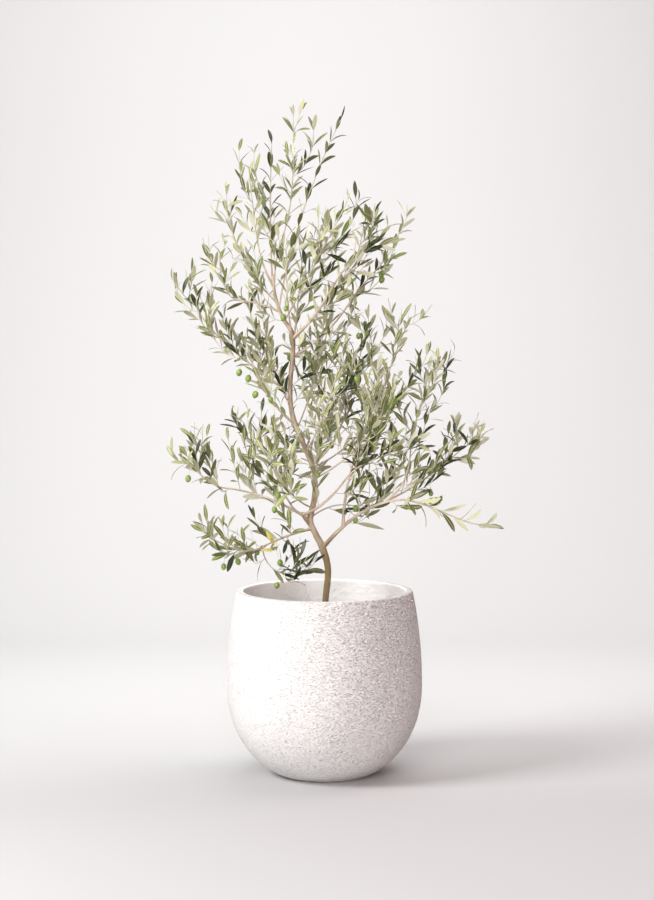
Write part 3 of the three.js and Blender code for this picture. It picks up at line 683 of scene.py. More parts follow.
limbs = {"trunk": (trunk_line, trunk_radius)}
for name, (parent, at, tip, bow, radii) in BOUGHS.items():
    root = limbs[parent][0](trunk_share(at) if parent == "trunk" else at)
    limbs[name] = (bowed(root, np.array(tip, float), np.array(bow, float)), bough_radius(radii))


def length_of(line):
    return np.linalg.norm(np.diff(line(np.linspace(0, 1, LENGTH_SAMPLES)), axis=0), axis=1).sum()


def skeleton(name, strands):
    """A mesh of lines, in metres, with the wood's radius kept at each of their points."""
    places, radii, edges = [], [], []
    first = 0
    for strand, thickness in strands:
        places.append(strand)
        radii.append(thickness)
        edges += [(first + i, first + i + 1) for i in range(len(strand) - 1)]
        first += len(strand)
    mesh = bpy.data.meshes.new(name)
    mesh.from_pydata(np.vstack(places) * MM, edges, [])
    keep(mesh, "thickness", np.concatenate(radii) * MM)
    return mesh


def strand_of(line, radius, step, end=1.0):
    """Points along a line about one step apart, and the radius at each."""
    shares = np.linspace(0, end, max(4, round(end * length_of(line) / step)))
    return line(shares), radius(shares)


round_wood, given = new_tree("round_wood", {"Sides": "Int", "Crease": "Float", "Finish": "Material"})
graph = round_wood
curve = graph.node("GeometryNodeMeshToCurve", None, {"Mesh": given["Geometry"]})
length = graph.node("GeometryNodeSplineParameter", None, None, "Length")
curve = graph.keep(curve, "along", length)
ring = graph.node("GeometryNodeCurvePrimitiveCircle", None, {"Resolution": given["Sides"], "Radius": 1.0})
ring = graph.keep(ring, "ring", graph.node("GeometryNodeInputPosition"), "FLOAT_VECTOR")
thickness = graph.read("thickness")
sockets = {"Curve": curve, "Profile Curve": ring, "Scale": thickness, "Fill Caps": True}
tube = graph.node("GeometryNodeCurveToMesh", None, sockets)
lengthwise = graph.node("ShaderNodeCombineXYZ", None, {"Z": graph.read("along") * BARK_STRETCH})
across = graph.vector("SCALE", graph.read("ring", "FLOAT_VECTOR"), scale=thickness)
bark_place = graph.vector("ADD", across, lengthwise)
tube = graph.keep(tube, "bark", bark_place, "FLOAT_VECTOR")
creases = graph.noise(bark_place, BARK_SIZE, detail=3.0)
swelling = graph.noise(bark_place, SWELLING_SIZE, detail=1.0)
push = (creases - 0.5) * given["Crease"] + (swelling - 0.5) * given["Crease"] * 2
end_tree(graph, graph.pushed(tube, push), [(given["Finish"], True)])


def old_bark(graph):
    """Grey-beige bark with creases and pores along the limb, browner near the soil and paler high up."""
    place = graph.attribute("bark", "Vector")
    height = graph.coordinate(graph.object_place(), "Z")
    creases = graph.noise(place, BARK_SIZE, detail=4.0, roughness=0.65)
    stains = graph.noise(place, STAIN_SIZE, detail=3.0)
    pores = graph.dots(place, PORE_SIZE, PORE_SPAN)
    thin = graph.step(graph.attribute("thickness"), *BARK_THICKNESSES)
    marks = graph.step(creases * CREASE_SHARE + stains * STAIN_SHARE, *MARK_SPAN)
    foot = graph.step(height, *FOOT_HEIGHTS) * (FOOT_SHARE - marks * FOOT_SHARE_MARKED)
    colour = graph.colour_mix(marks * 0.5 + thin * 0.5, BARK_GREY, BARK_PALE)
    colour = graph.colour_mix(foot, colour, BARK_FOOT)
    colour = graph.colour_mix(pores * PORE_SHARE, colour, BARK_FOOT)
    return {
        "Base Color": colour,
        "Roughness": BARK_ROUGHNESS + creases * BARK_ROUGHNESS_SPREAD,
        "Normal": graph.bump(creases - pores * 0.5, BARK_RELIEF, strength=0.8),
    }


bark = finish("old_bark", {"Specular IOR Level": 0.35}, old_bark)
strands = [strand_of(line, radius, WOOD_STEP) for line, radius in limbs.values()]
places, radii = strands[0]
strands[0] = (np.vstack([places[0] - (0, 0, TRUNK_SUNK), places]), np.insert(radii, 0, TRUNK[0][3]))
inputs = {"Crease": BARK_CREASE, "Finish": bark, "Sides": TRUNK_SIDES}
trunk = grown("trunk_wood", skeleton("trunk_wood", strands[:1]), round_wood, inputs)
inputs["Sides"] = BOUGH_SIDES
boughs = grown("bough_wood", skeleton("bough_wood", strands[1:]), round_wood, inputs)
settle(trunk, "bark", "trunk")
settle(boughs, "bark", *("bough_" + name for name in BOUGHS))


# The crown is 32 masses of shoots. A lead shoot goes on from a bough's tip or leaves the trunk, side shoots
# stand round it, and finer twigs stand on them, on the boughs and on the upper trunk. This wood is young
# and smooth: green where it is thinnest, and beige where it is thicker.

# Each mass: the bough it goes on from, or the height where it leaves the trunk, its tip, the bow of its lead,
# how far its side shoots stand out, and how many there are. Lengths are in millimetres.
MASSES = {
    "spire": ("top_centre", (-62, 10, 1347), (4, 0, 0), 40, 6),
    "top_inner": (1006, (-104, 34, 1296), (-4, 6, 0), 40, 5),
    "top_left": ("top_left", (-157, -20, 1266), (2, -4, 0), 42, 5),
    "top_right": (940, (45, -14, 1337), (-16, -10, 6), 42, 5),
    "left_edge": (951, (-202, 30, 1196), (-26, 10, -10), 44, 5),
    "left_shelf": ("left_shelf", (-212, -30, 1086), (-8, 0, -6), 54, 6),
    "left_upper": ("left_upper", (-287, -46, 1030), (-14, 0, -14), 50, 6),
    "left_inner": (705, (-156, -62, 890), (-16, -8, -12), 54, 6),
    "upper_front": (893, (-72, -76, 1108), (-6, -22, -10), 54, 6),
    "upper_back": (868, (-40, 96, 1104), (0, 20, -10), 56, 5),
    "right_top": (915, (58, -40, 1176), (-2, -10, -6), 50, 6),
    "right_upper": ("right_leader", (140, -50, 1124), (6, -4, -12), 50, 6),
    "right_shelf": ("right_shelf", (146, 62, 1080), (6, 0, -10), 52, 6),
    "centre_front": (655, (44, -98, 902), (6, -24, -14), 58, 6),
    "centre_back": (700, (22, 120, 972), (4, 22, -14), 60, 5),
    "right_mid": ("right_mid", (92, 70, 938), (2, 0, -6), 56, 6),
    "left_back": (742, (-134, 118, 962), (-8, 24, -14), 58, 5),
    "right_tall": ("right_tall", (188, 30, 966), (0, 0, 0), 50, 6),
    "right_outer": ("right_outer", (236, -4, 884), (6, 0, -6), 50, 6),
    "right_edge": (600, (150, -100, 832), (22, -20, -22), 56, 6),
    "riser_top": ("right_riser", (112, -20, 846), (0, 0, 0), 54, 6),
    "crossing": ("crossing", (196, -96, 690), (0, -4, -6), 52, 6),
    "right_reach": ("right_reach", (318, 22, 712), (8, 0, -10), 50, 6),
    "right_droop": ("right_low", (336, -62, 520), (20, 0, -34), 22, 1),
    "right_back": (622, (150, 150, 800), (16, 24, -22), 56, 5),
    "arching": ("arching", (134, 74, 600), (0, 0, -8), 40, 3),
    "left_mid": ("left_mid", (-288, -30, 674), (-6, 0, -14), 50, 6),
    "left_rise": ("left_rise", (-172, 56, 724), (0, 0, -8), 54, 6),
    "left_front": (540, (-116, -112, 700), (-14, -22, -20), 54, 6),
    "back_low": (574, (-10, 156, 760), (0, 30, -26), 58, 5),
    "left_low": ("left_low", (-262, -84, 520), (-4, 0, -16), 42, 6),
    "hanging": ("hanging", (-14, -84, 446), (0, 0, -22), 30, 4),
}
BOUGH_LEAD_BARE = 0.08
TRUNK_LEAD_BARE = 0.25
EARLY_CONTROL = 0.3
LATE_CONTROL = 0.68
BOW_PULL = 1.3
BRANCH_FROM = 0.12
BRANCH_TO = 0.78
SIDE_LENGTHS = (0.85, 1.15)
FIRST_OUT = 0.51
FIRST_ALONG = 0.25
SIDE_ORDER = (0, 2, 1, 3)
TURN_SCATTER = 0.8
SIDE_OUT = 0.85
SIDE_ALONG = 0.6
SIDE_UP = 0.6
SIDE_TAPER = 0.5
SIDE_BARE = 0.22
SHOOT_TIP_RADIUS = 0.75
TRUNK_STEM_RADIUS = 1.9
SPACE_MARGIN = 34
SPACE_MIDDLE = 0.55
SIDE_KEPT_AT = 0.86

# How far a lead's wood ends before the tip of its mass, in millimetres.
LEAD_SHORT = 28
LEAD_SHORTER = {
    "left_upper": 85, "right_outer": 60, "right_tall": 55, "right_reach": 60, "left_edge": 45,
    "left_shelf": 45, "top_left": 45, "left_rise": 45,
}

# The finer twigs on the shoots, and how full the crown is of shoots and twigs at some heights.
TWIG_TO = 0.85
TWIG_SPACING = 40
TWIG_LENGTHS = (30, 58)
TWIG_SHORTENING = 0.35
TWIG_UP = 0.5
END_TWIG_LENGTHS = (34, 62)
END_TWIG_RISE = 0.6
CROWN_HEIGHTS = (500, 700, 900, 1100, 1300)
SIDE_FULLNESS = (0.95, 0.9, 0.7, 0.6, 0.4)
TWIG_FULLNESS = (0.8, 0.6, 0.4, 0.3, 0.08)
MASS_FULLNESS = {
    "crossing": 1.1, "right_edge": 1.1, "right_back": 1.3, "right_reach": 1.1, "left_front": 1.3,
    "right_top": 2.1, "right_upper": 1.5, "left_edge": 0.8, "left_inner": 0.8, "right_outer": 1.1,
    "right_tall": 0.6, "spire": 0.8, "top_right": 0.5, "top_left": 0.5, "left_mid": 0.8, "right_shelf": 0.6,
    "centre_front": 0.75, "left_upper": 1.3, "left_low": 0.7, "upper_front": 0.9, "riser_top": 0.7,
    "arching": 0.5, "left_back": 0.8, "left_rise": 0.8, "back_low": 0.8,
}

# How much of its space a mass fills, where that is less than all of it.
MASS_REACHES = {
    "left_upper": 0.76, "right_outer": 0.82, "right_tall": 0.85, "left_edge": 0.84, "left_shelf": 0.86,
    "top_left": 0.86, "right_reach": 0.86, "left_inner": 0.9,
}

# The twigs on the boughs and the trunk: those on a bough are listed under the mass that goes on from it.
BOUGH_TWIGS_FROM = 0.25
BOUGH_TWIG_SPACING = 40
BOUGH_TWIG_SPACINGS = {
    "left_low": 12, "left_mid": 20, "right_outer": 14, "right_reach": 16, "left_rise": 22,
    "left_upper": 18, "right_upper": 24,
}
BOUGH_TWIG_UP = 0.7
TRUNK_TWIG_HEIGHTS = (700, 1000)
TRUNK_TWIG_COUNT = 12
BOUGH_TWIG_LENGTHS = (34, 75)
BOUGH_TWIG_REACH = 2.2
STATION_START, STATION_SCATTER = 0.2, 0.6
NO_SCATTER = 0.5
TWIG_RADII = (0.85, 0.6)
TWIG_BARE = 0.25
TWIG_STEP = 6
TWIG_SIDES = 6
TWIG_CREASE = 0.08 * MM
TWIG_BARK_SIZE = 2 * MM
TWIG_GREEN_RADIUS = 0.7 * MM
TWIG_BEIGE_RADIUS = 1.7 * MM
TWIG_THICK_SHARE, TWIG_STREAK_SHARE = 0.8, 0.2
TWIG_ROUGHNESS, TWIG_ROUGHNESS_SPREAD = 0.6, 0.2
TWIG_RELIEF = 0.1 * MM
TWIG_GREEN = (0.42, 0.43, 0.3, 1)
TWIG_BEIGE = (0.46, 0.365, 0.29, 1)

# The draws, and the straight pieces by which shoots and leaves keep clear of each other.
DRAW_SPAN = 2**32
SEED_FACTOR, SEED_STEP = 7919, 104729
DRAW_FACTOR, DRAW_STEP = 1664525, 1013904223
FINE_STREAM = 500
MOST_PIECES = 30000
TRUNK_PIECES, BOUGH_PIECES, LEAD_PIECES, SIDE_PIECES, TWIG_PIECES = 22, 4, 4, 2, 3
WOOD_GAP = 0.6
NEAR_ENOUGH = 90
LEAST_SPREAD = 1e-9
LEVEL_LIMIT = 0.8
LIMB = -1
UP = np.array((0.0, 0.0, 1.0))


def seeded(seed):
    """Draws from 0 up to 1 that are the same for the same seed."""
    state = (seed * SEED_FACTOR + SEED_STEP) % DRAW_SPAN

    def draw():
        nonlocal state
        state = (state * DRAW_FACTOR + DRAW_STEP) % DRAW_SPAN
        return state / DRAW_SPAN

    return draw


def unit(vector):
    return vector / np.linalg.norm(vector)


def outward(line, share, angle):
    """The direction square to a line at a share of it, turned by an angle round it."""
    chord = unit(line(1.0) - line(0.0))
    reference = np.array((0.0, 1.0, 0.0) if abs(chord[1]) < LEVEL_LIMIT else (1.0, 0.0, 0.0))
    way = way_of(line, share)
    first = unit(reference - (reference @ way) * way)
    return first * math.cos(angle) + np.cross(way, first) * math.sin(angle)


def quarter(turn, side):
    """The angle of one of the four sides that leaves and shoots stand on."""
    return turn + 2 * math.pi * (side / 4 + 1 / 8)


class Shoot:
    """One shoot: its mass, line, radii, the turn of its first leaves, its bare share, parent and reach."""

    def __init__(self, mass, line, radii, turn, bare, parent=None, reach=1.0):
        self.mass = mass
        self.line = line
        self.radii = radii
        self.turn = turn
        self.bare = bare
        self.parent = parent
        self.reach = reach * MASS_REACHES.get(mass, 1)
        self.length = length_of(line)
        self.end = 1.0 if parent else 1 - LEAD_SHORTER.get(mass, LEAD_SHORT) / self.length

    def radius(self, share):
        return mix(*self.radii, np.asarray(share, float))


class Taken:
    """The wood and leaves placed so far, as straight thick pieces, for telling what a new one would touch."""

    def __init__(self, most):
        self.count = 0
        self.starts = np.empty((most, 3))
        self.ends = np.empty((most, 3))
        self.radii = np.empty(most)
        self.masses = np.empty(most, int)
        self.shoots = np.empty(most, int)

    def add(self, pieces, mass, shoot):
        for start, end, radius in pieces:
            self.starts[self.count] = start
            self.ends[self.count] = end
            self.radii[self.count] = radius
            self.masses[self.count] = mass
            self.shoots[self.count] = shoot
            self.count += 1

    def touches(self, piece, gap, mass=None, shoot=None):
        """Whether a piece comes closer than the gap to anything outside its own mass or shoot."""
        start, end, radius = piece
        count = self.count
        middle = (self.starts[:count] + self.ends[:count] - start - end) / 2
        chosen = (middle**2).sum(axis=1) < NEAR_ENOUGH**2
        if mass is not None:
            chosen &= self.masses[:count] != mass
        if shoot is not None:
            chosen &= self.shoots[:count] != shoot
        chosen = np.flatnonzero(chosen)
        starts, ends = self.starts[chosen], self.ends[chosen]
        first, second, offset = end - start, ends - starts, start - starts
        aa, bb = first @ first, (second**2).sum(axis=1)
        ab, ao, bo = second @ first, offset @ first, (offset * second).sum(axis=1)
        share = np.clip((ab * bo - bb * ao) / np.maximum(aa * bb - ab**2, LEAST_SPREAD), 0, 1)
        other = np.clip((ab * share + bo) / bb, 0, 1)
        share = np.clip((ab * other - ao) / aa, 0, 1)
        apart = np.linalg.norm(offset + share[:, None] * first - other[:, None] * second, axis=1)
        return bool((apart < radius + self.radii[chosen] + gap).any())


def pieces_of(line, radius, steps):
    places = line(np.linspace(0, 1, steps + 1))
    return [(places[i], places[i + 1], float(radius(i / steps))) for i in range(steps)]


def lead_of(mass):
    """The lead shoot of a mass, from its bough's tip or the trunk to the tip of the mass."""
    origin, tip, bow, _, _ = MASSES[mass]
    on_trunk = not isinstance(origin, str)
    line, radius = limbs["trunk" if on_trunk else origin]
    root = line(trunk_share(origin) if on_trunk else 1.0)
    chord = np.array(tip) - root
    off = BOW_PULL * np.array(bow, float)
    early = chord * EARLY_CONTROL + off
    if not on_trunk:
        early = way_of(line, 1.0) * np.linalg.norm(chord) * EARLY_CONTROL
    whole = bezier(root, root + early, root + chord * LATE_CONTROL + off, tip)
    thickest = TRUNK_STEM_RADIUS if on_trunk else float(radius(1.0))
    bare = TRUNK_LEAD_BARE if on_trunk else BOUGH_LEAD_BARE
    return whole, thickest, bare


def branch(line, station, side, scatter, length, lift):
    """The line of a shoot that leaves another: square out at first, then along it and up."""
    start = line(station)
    along = way_of(line, station)
    leaving = outward(line, station, side)
    out = outward(line, station, side + TURN_SCATTER * (scatter - 0.5))
    middle = start + leaving * length * FIRST_OUT + along * length * FIRST_ALONG
    return bezier(start, middle, start + length * (out * SIDE_OUT + along * SIDE_ALONG + UP * lift))


def spaces_of():
    """Each mass's egg-shaped space, from root to tip: its middle, axis, half length and half width."""
    for mass, (_, _, _, spread, _) in MASSES.items():
        line = lead_of(mass)[0]
        axis = line(1.0) - line(0.0)
        half = np.linalg.norm(axis) / 2 + SPACE_MARGIN
        yield mass, line(0.0) + SPACE_MIDDLE * axis, unit(axis), half, spread + SPACE_MARGIN


names, middles, axes, halves, widths = (np.array(column) for column in zip(*spaces_of()))


def depths(point):
    """How far out a point lies in every mass's space: below 1 is inside it."""
    offset = point - middles
    along = (offset * axes).sum(axis=1)
    across = np.linalg.norm(offset - along[:, None] * axes, axis=1)
    return np.hypot(along / halves, across / widths)


def belongs(mass, point):
    """Whether a point lies deepest in the space of its own mass."""
    deep = depths(point)
    return deep.min() < 1 and names[deep.argmin()] == mass


def side_shoots(mass, seed):
    """The lead of a mass and the side shoots that stand round it in its space."""
    draw = seeded(seed)
    line, thickest, bare = lead_of(mass)
    _, _, _, spread, count = MASSES[mass]
    turn = 2 * math.pi * draw()
    lead = Shoot(mass, line, (thickest, SHOOT_TIP_RADIUS), turn, bare)
    yield lead
    for i in range(count):
        station = mix(max(BRANCH_FROM, bare), BRANCH_TO, (i + draw() / 2) / count)
        length = spread * mix(*SIDE_LENGTHS, draw())
        side = quarter(turn, SIDE_ORDER[i % 4])
        stem = branch(line, station, side, draw(), length, SIDE_UP)
        radius = float(lead.radius(station)) * (0.5 + SIDE_TAPER / 2)
        yield Shoot(mass, stem, (radius, SHOOT_TIP_RADIUS), 2 * math.pi * draw(), SIDE_BARE, lead)


taken = Taken(MOST_PIECES)
for name, (line, radius) in limbs.items():
    count = TRUNK_PIECES if name == "trunk" else BOUGH_PIECES
    taken.add(pieces_of(line, radius, count), LIMB, LIMB)

shoots = []
for number, mass in enumerate(MASSES):
    for shoot in side_shoots(mass, number + 1):
        pieces = pieces_of(shoot.line, shoot.radius, SIDE_PIECES if shoot.parent else LEAD_PIECES)
        is_free = belongs(mass, shoot.line(SIDE_KEPT_AT)) and not any(
            taken.touches(piece, WOOD_GAP, mass=number) for piece in pieces
        )
        if shoot.parent is None or is_free:
            taken.add(pieces, number, len(shoots))
            shoots.append(shoot)

mass_numbers = {mass: number for number, mass in enumerate(MASSES)}
draws = {mass: seeded(number + 1 + FINE_STREAM) for mass, number in mass_numbers.items()}


def fullness(shares, height):
    """A value that changes with height: the crown is open near its top."""
    return float(np.interp(height, CROWN_HEIGHTS, shares))


def is_grown(shoot, shares, height, draw):
    """Whether the crown is full enough at a height of a mass for one more shoot."""
    return draw() < fullness(shares, height) * MASS_FULLNESS.get(shoot.mass, 1)


def add_twig(shoot, line, draw, reach=1.0):
    """Adds a fine twig if its tip is in the space of its mass and nothing of another mass is in its way."""
    number = mass_numbers[shoot.mass]
    twig = Shoot(shoot.mass, line, TWIG_RADII, 2 * math.pi * draw(), TWIG_BARE, shoot, reach)
    pieces = pieces_of(line, twig.radius, TWIG_PIECES)
    is_free = not any(taken.touches(piece, WOOD_GAP, mass=number) for piece in pieces[1:])
    if depths(line(1.0))[number] < twig.reach and is_free:
        taken.add(pieces, number, len(shoots))
        shoots.append(twig)


def scattered(i, count, draw):
    """The share at which the next of some twigs stands, somewhere in the middle of its stretch."""
    return (i + STATION_START + STATION_SCATTER * draw()) / count


shoots = [
    shoot
    for shoot in shoots
    if shoot.parent is None or is_grown(shoot, SIDE_FULLNESS, shoot.line(0.0)[2], draws[shoot.mass])
]
for shoot in list(shoots):
    draw = draws[shoot.mass]
    if shoot.parent:
        way = way_of(shoot.line, 1.0)
        tip = shoot.line(1.0)
        length = mix(*END_TWIG_LENGTHS, draw())
        rise = unit(mix(way, UP, END_TWIG_RISE))
        add_twig(shoot, bezier(tip, tip + way * length / 2, tip + rise * length), draw)
    count = round(shoot.length * (TWIG_TO - shoot.bare) / TWIG_SPACING)
    for i in range(count):
        station = mix(shoot.bare, TWIG_TO, scattered(i, count, draw))
        side = quarter(shoot.turn, i + 2 * (draw() > 0.5))
        length = mix(*TWIG_LENGTHS, draw()) * (1 - TWIG_SHORTENING * station)
        stem = branch(shoot.line, station, side, draw(), length, TWIG_UP)
        if is_grown(shoot, TWIG_FULLNESS, stem(0.0)[2], draw):
            add_twig(shoot, stem, draw)

# Short leafy twigs stand on the boughs and the upper trunk themselves too.
leads = {shoot.mass: shoot for shoot in shoots if shoot.parent is None}
for mass, lead in leads.items():
    origin = MASSES[mass][0]
    if isinstance(origin, str):
        draw = draws[mass]
        line = limbs[origin][0]
        spacing = BOUGH_TWIG_SPACINGS.get(mass, BOUGH_TWIG_SPACING)
        count = round(length_of(line) * (1 - BOUGH_TWIGS_FROM) / spacing)
        for i in range(count):
            station = mix(BOUGH_TWIGS_FROM, 1, scattered(i, count, draw))
            length = mix(*BOUGH_TWIG_LENGTHS, draw())
            stem = branch(line, station, 2 * math.pi * draw(), NO_SCATTER, length, BOUGH_TWIG_UP)
            add_twig(lead, stem, draw, BOUGH_TWIG_REACH)
draw = seeded(FINE_STREAM)
for i in range(TRUNK_TWIG_COUNT):
    station = trunk_share(mix(*TRUNK_TWIG_HEIGHTS, (i + draw()) / TRUNK_TWIG_COUNT))
    side = 2 * math.pi * draw()
    length = mix(*BOUGH_TWIG_LENGTHS, draw())
    stem = branch(trunk_line, station, side, NO_SCATTER, length, BOUGH_TWIG_UP)
    add_twig(leads[names[depths(stem(1.0)).argmin()]], stem, draw, BOUGH_TWIG_REACH)


def young_bark(graph):
    """Smooth young bark: pale grey-green on the thin shoots, and beige where the wood is thicker."""
    place = graph.attribute("bark", "Vector")
    streaks = graph.noise(place, TWIG_BARK_SIZE, detail=3.0, roughness=0.6)
    thick = graph.step(graph.attribute("thickness"), TWIG_GREEN_RADIUS, TWIG_BEIGE_RADIUS)
    share = thick * TWIG_THICK_SHARE + streaks * TWIG_STREAK_SHARE
    return {
        "Base Color": graph.colour_mix(share, TWIG_GREEN, TWIG_BEIGE),
        "Roughness": TWIG_ROUGHNESS + streaks * TWIG_ROUGHNESS_SPREAD,
        "Normal": graph.bump(streaks, TWIG_RELIEF, strength=0.6),
    }


shoot_bark = finish("young_bark", {"Specular IOR Level": 0.35}, young_bark)
strands = [strand_of(shoot.line, shoot.radius, TWIG_STEP, shoot.end) for shoot in shoots]
inputs = {"Sides": TWIG_SIDES, "Crease": TWIG_CREASE, "Finish": shoot_bark}
twigs = grown("twigs", skeleton("twigs", strands), round_wood, inputs)
foliage_nodes = ["foliage_" + mass for mass in MASSES]
settle(twigs, "foliage", *foliage_nodes)


# The leaves are leathery and narrow, in pairs that stand crosswise along the shoots. They are grey-green
# above and silvery under, where fine scales cover them, and the youngest are greener.

LEAF_LENGTH = 42
LEAF_WIDTH = 9.4
LEAF_WIDTHS = (0.75, 1.15)
LEAF_THICKNESS = 0.5
LEAF_RIB = 0.06
LEAF_RIB_MOST = 0.7
LEAF_STATIONS = (0, 0.08, 0.2, 0.38, 0.58, 0.78, 0.92, 1)
LEAF_HALF_WIDTHS = (0.07, 0.08, 0.27, 0.46, 0.5, 0.4, 0.21, 0)
SECTION_POINTS = 5
LEAF_SHAPES = 10
LEAF_SHAPE_SEED = 40
LEAF_ARCHES = (0.1, 1.1)
LEAF_BENDS = (-0.07, 0.07)
LEAF_TWISTS = (-0.5, 0.5)
LEAF_FOLDS = (-0.12, 0.22)
LAST_STATION = 0.999
LEAF_FOOT_OUT = 0.6
LEAF_SPACINGS = (19, 19, 20, 23, 28)
LOOSE_MASSES = {"right_droop": 1.15}
LARGE_LEAVES = {"right_droop": 1.4, "arching": 1.15, "hanging": 1.1}
LEAF_SIZES = (0.78, 1.12)
TIP_LEAF_SIZE = 0.78
LEAF_SPLAY = 0.5
TIP_SPLAY = 0.2
LEAF_SCATTER = 0.3
LEAF_LIFT = 0.15
LEAF_FACE_UP = 0.25
LEAF_FACE_SCATTER = 0.55
LEAF_KEEP_OFF = 0.35
LEAF_GAP = 0.2
LEAF_BODY = 0.12
UPPER, UNDER, RIB = 0, 1, 2
SCALY = {"Specular IOR Level": 0.2, "Roughness": 0.65}
LEAF_FINISHES = {"Upper": {"Specular IOR Level": 0.35, "Roughness": 0.42}, "Under": SCALY, "Rib": SCALY}

# Each tint: the share of the shoots that have it, and its colours above, under and along the rib.
TINTS = {
    "mature": (0.42, (0.118, 0.137, 0.034, 1), (0.43, 0.423, 0.272, 1), (0.38, 0.385, 0.2, 1)),
    "pale": (0.34, (0.255, 0.268, 0.115, 1), (0.54, 0.53, 0.4, 1), (0.49, 0.485, 0.32, 1)),
    # The dark tint is partly real dark leaves and partly painted shade: near black above and under.
    "dark": (0.19, (0.015, 0.023, 0.005, 1), (0.125, 0.133, 0.052, 1), (0.075, 0.09, 0.028, 1)),
    "young": (0.05, (0.16, 0.21, 0.05, 1), (0.38, 0.41, 0.22, 1), (0.34, 0.38, 0.17, 1)),
    "yellow": (0.0, (0.5, 0.45, 0.08, 1), (0.55, 0.5, 0.16, 1), (0.6, 0.55, 0.2, 1)),
}

# How much likelier the dark leaves, partly painted shade, are in some masses, a mass of a single tint, and
# where the yellow shoot ends.
SHADED_DARK_MASSES = {
    "hanging": 1.0, "arching": 0.7, "crossing": 0.25, "centre_front": 0.15, "left_back": 0.1,
    "centre_back": 0.1,
}
MASS_TINTS = {"right_droop": "mature"}
YELLOW_SPRAY = (-126, -80, 497)


def leaf_mesh(name, draw):
    """One leaf along X, its upper side towards Z: arched, bent aside, twisted and folded along its rib."""
    ranges = (LEAF_WIDTHS, LEAF_ARCHES, LEAF_BENDS, LEAF_TWISTS, LEAF_FOLDS)
    width, arch, bend, twist, fold = (mix(*pair, draw()) for pair in ranges)
    places = []
    for station, half in zip(LEAF_STATIONS, LEAF_HALF_WIDTHS):
        wide = half * LEAF_WIDTH * width
        rib = min(LEAF_RIB * LEAF_WIDTH, wide * LEAF_RIB_MOST)
        rim = wide * fold
        section = [(-wide, rim), (-rib, 0), (rib, 0), (wide, rim), (0, -LEAF_THICKNESS)]
        if wide == 0:
            section = [(0, 0)]
        angle = twist * station
        fall = arch * station
        for across, up in section:
            aside = across * math.cos(angle) - up * math.sin(angle) + LEAF_LENGTH * bend * station**2
            rise = across * math.sin(angle) + up * math.cos(angle)
            ahead = LEAF_LENGTH / arch * math.sin(fall) + rise * math.sin(fall)
            drop = LEAF_LENGTH / arch * (1 - math.cos(fall))
            places.append((ahead, aside, rise * math.cos(fall) - drop))
    faces, sides = [(4, 3, 2, 1, 0)], [UNDER]
    for k in range(len(LEAF_STATIONS) - 1):
        here, after = SECTION_POINTS * k, SECTION_POINTS * (k + 1)
        last = k == len(LEAF_STATIONS) - 2
        for i, side in enumerate((UPPER, RIB, UPPER, UNDER, UNDER)):
            j = (i + 1) % SECTION_POINTS
            ahead = (after,) if last else (after + j, after + i)
            faces.append((here + i, here + j, *ahead))
            sides.append(side)
    mesh = bpy.data.meshes.new(name)
    mesh.from_pydata(np.array(places) * MM, [], faces)
    keep(mesh, "side", sides, domain="FACE")
    rims = {i for i in range(len(places)) if i % SECTION_POINTS in (0, 3) or i == len(places) - 1}
    is_rim = [rims.issuperset(edge.vertices) for edge in mesh.edges]
    keep(mesh, "sharp_edge", is_rim, "BOOLEAN", "EDGE")
    return mesh


leaf_shapes = bpy.data.collections.new("leaf_shapes")
for i in range(LEAF_SHAPES):
    mesh = leaf_mesh(f"leaf_shape_{i}", seeded(i + LEAF_SHAPE_SEED))
    leaf_shapes.objects.link(bpy.data.objects.new(mesh.name, mesh))

inputs = {"Shapes": "Collection", "Upper": "Material", "Under": "Material", "Rib": "Material"}
sprays, given = new_tree("sprays", inputs)
graph = sprays
settings = {"primary_axis": "X", "secondary_axis": "Z"}
sockets = {"Primary Axis": graph.read("along", "FLOAT_VECTOR")}
sockets["Secondary Axis"] = graph.read("face", "FLOAT_VECTOR")
turn = graph.node("FunctionNodeAxesToRotation", settings, sockets)
sockets = {"Collection": given["Shapes"], "Separate Children": True, "Reset Children": True}
shapes = graph.node("GeometryNodeCollectionInfo", None, sockets)
sockets = {"Points": given["Geometry"], "Instance": shapes, "Pick Instance": True}
sockets["Instance Index"] = graph.read("shape", "INT")
sockets["Rotation"] = turn
sockets["Scale"] = graph.read("size")
leaves = graph.node("GeometryNodeInstanceOnPoints", None, sockets)
side = graph.read("side")
sides = {"Upper": UPPER, "Under": UNDER, "Rib": RIB}
finishes = [(given[name], side.math("COMPARE", side, float(number))) for name, number in sides.items()]
end_tree(graph, leaves, finishes)


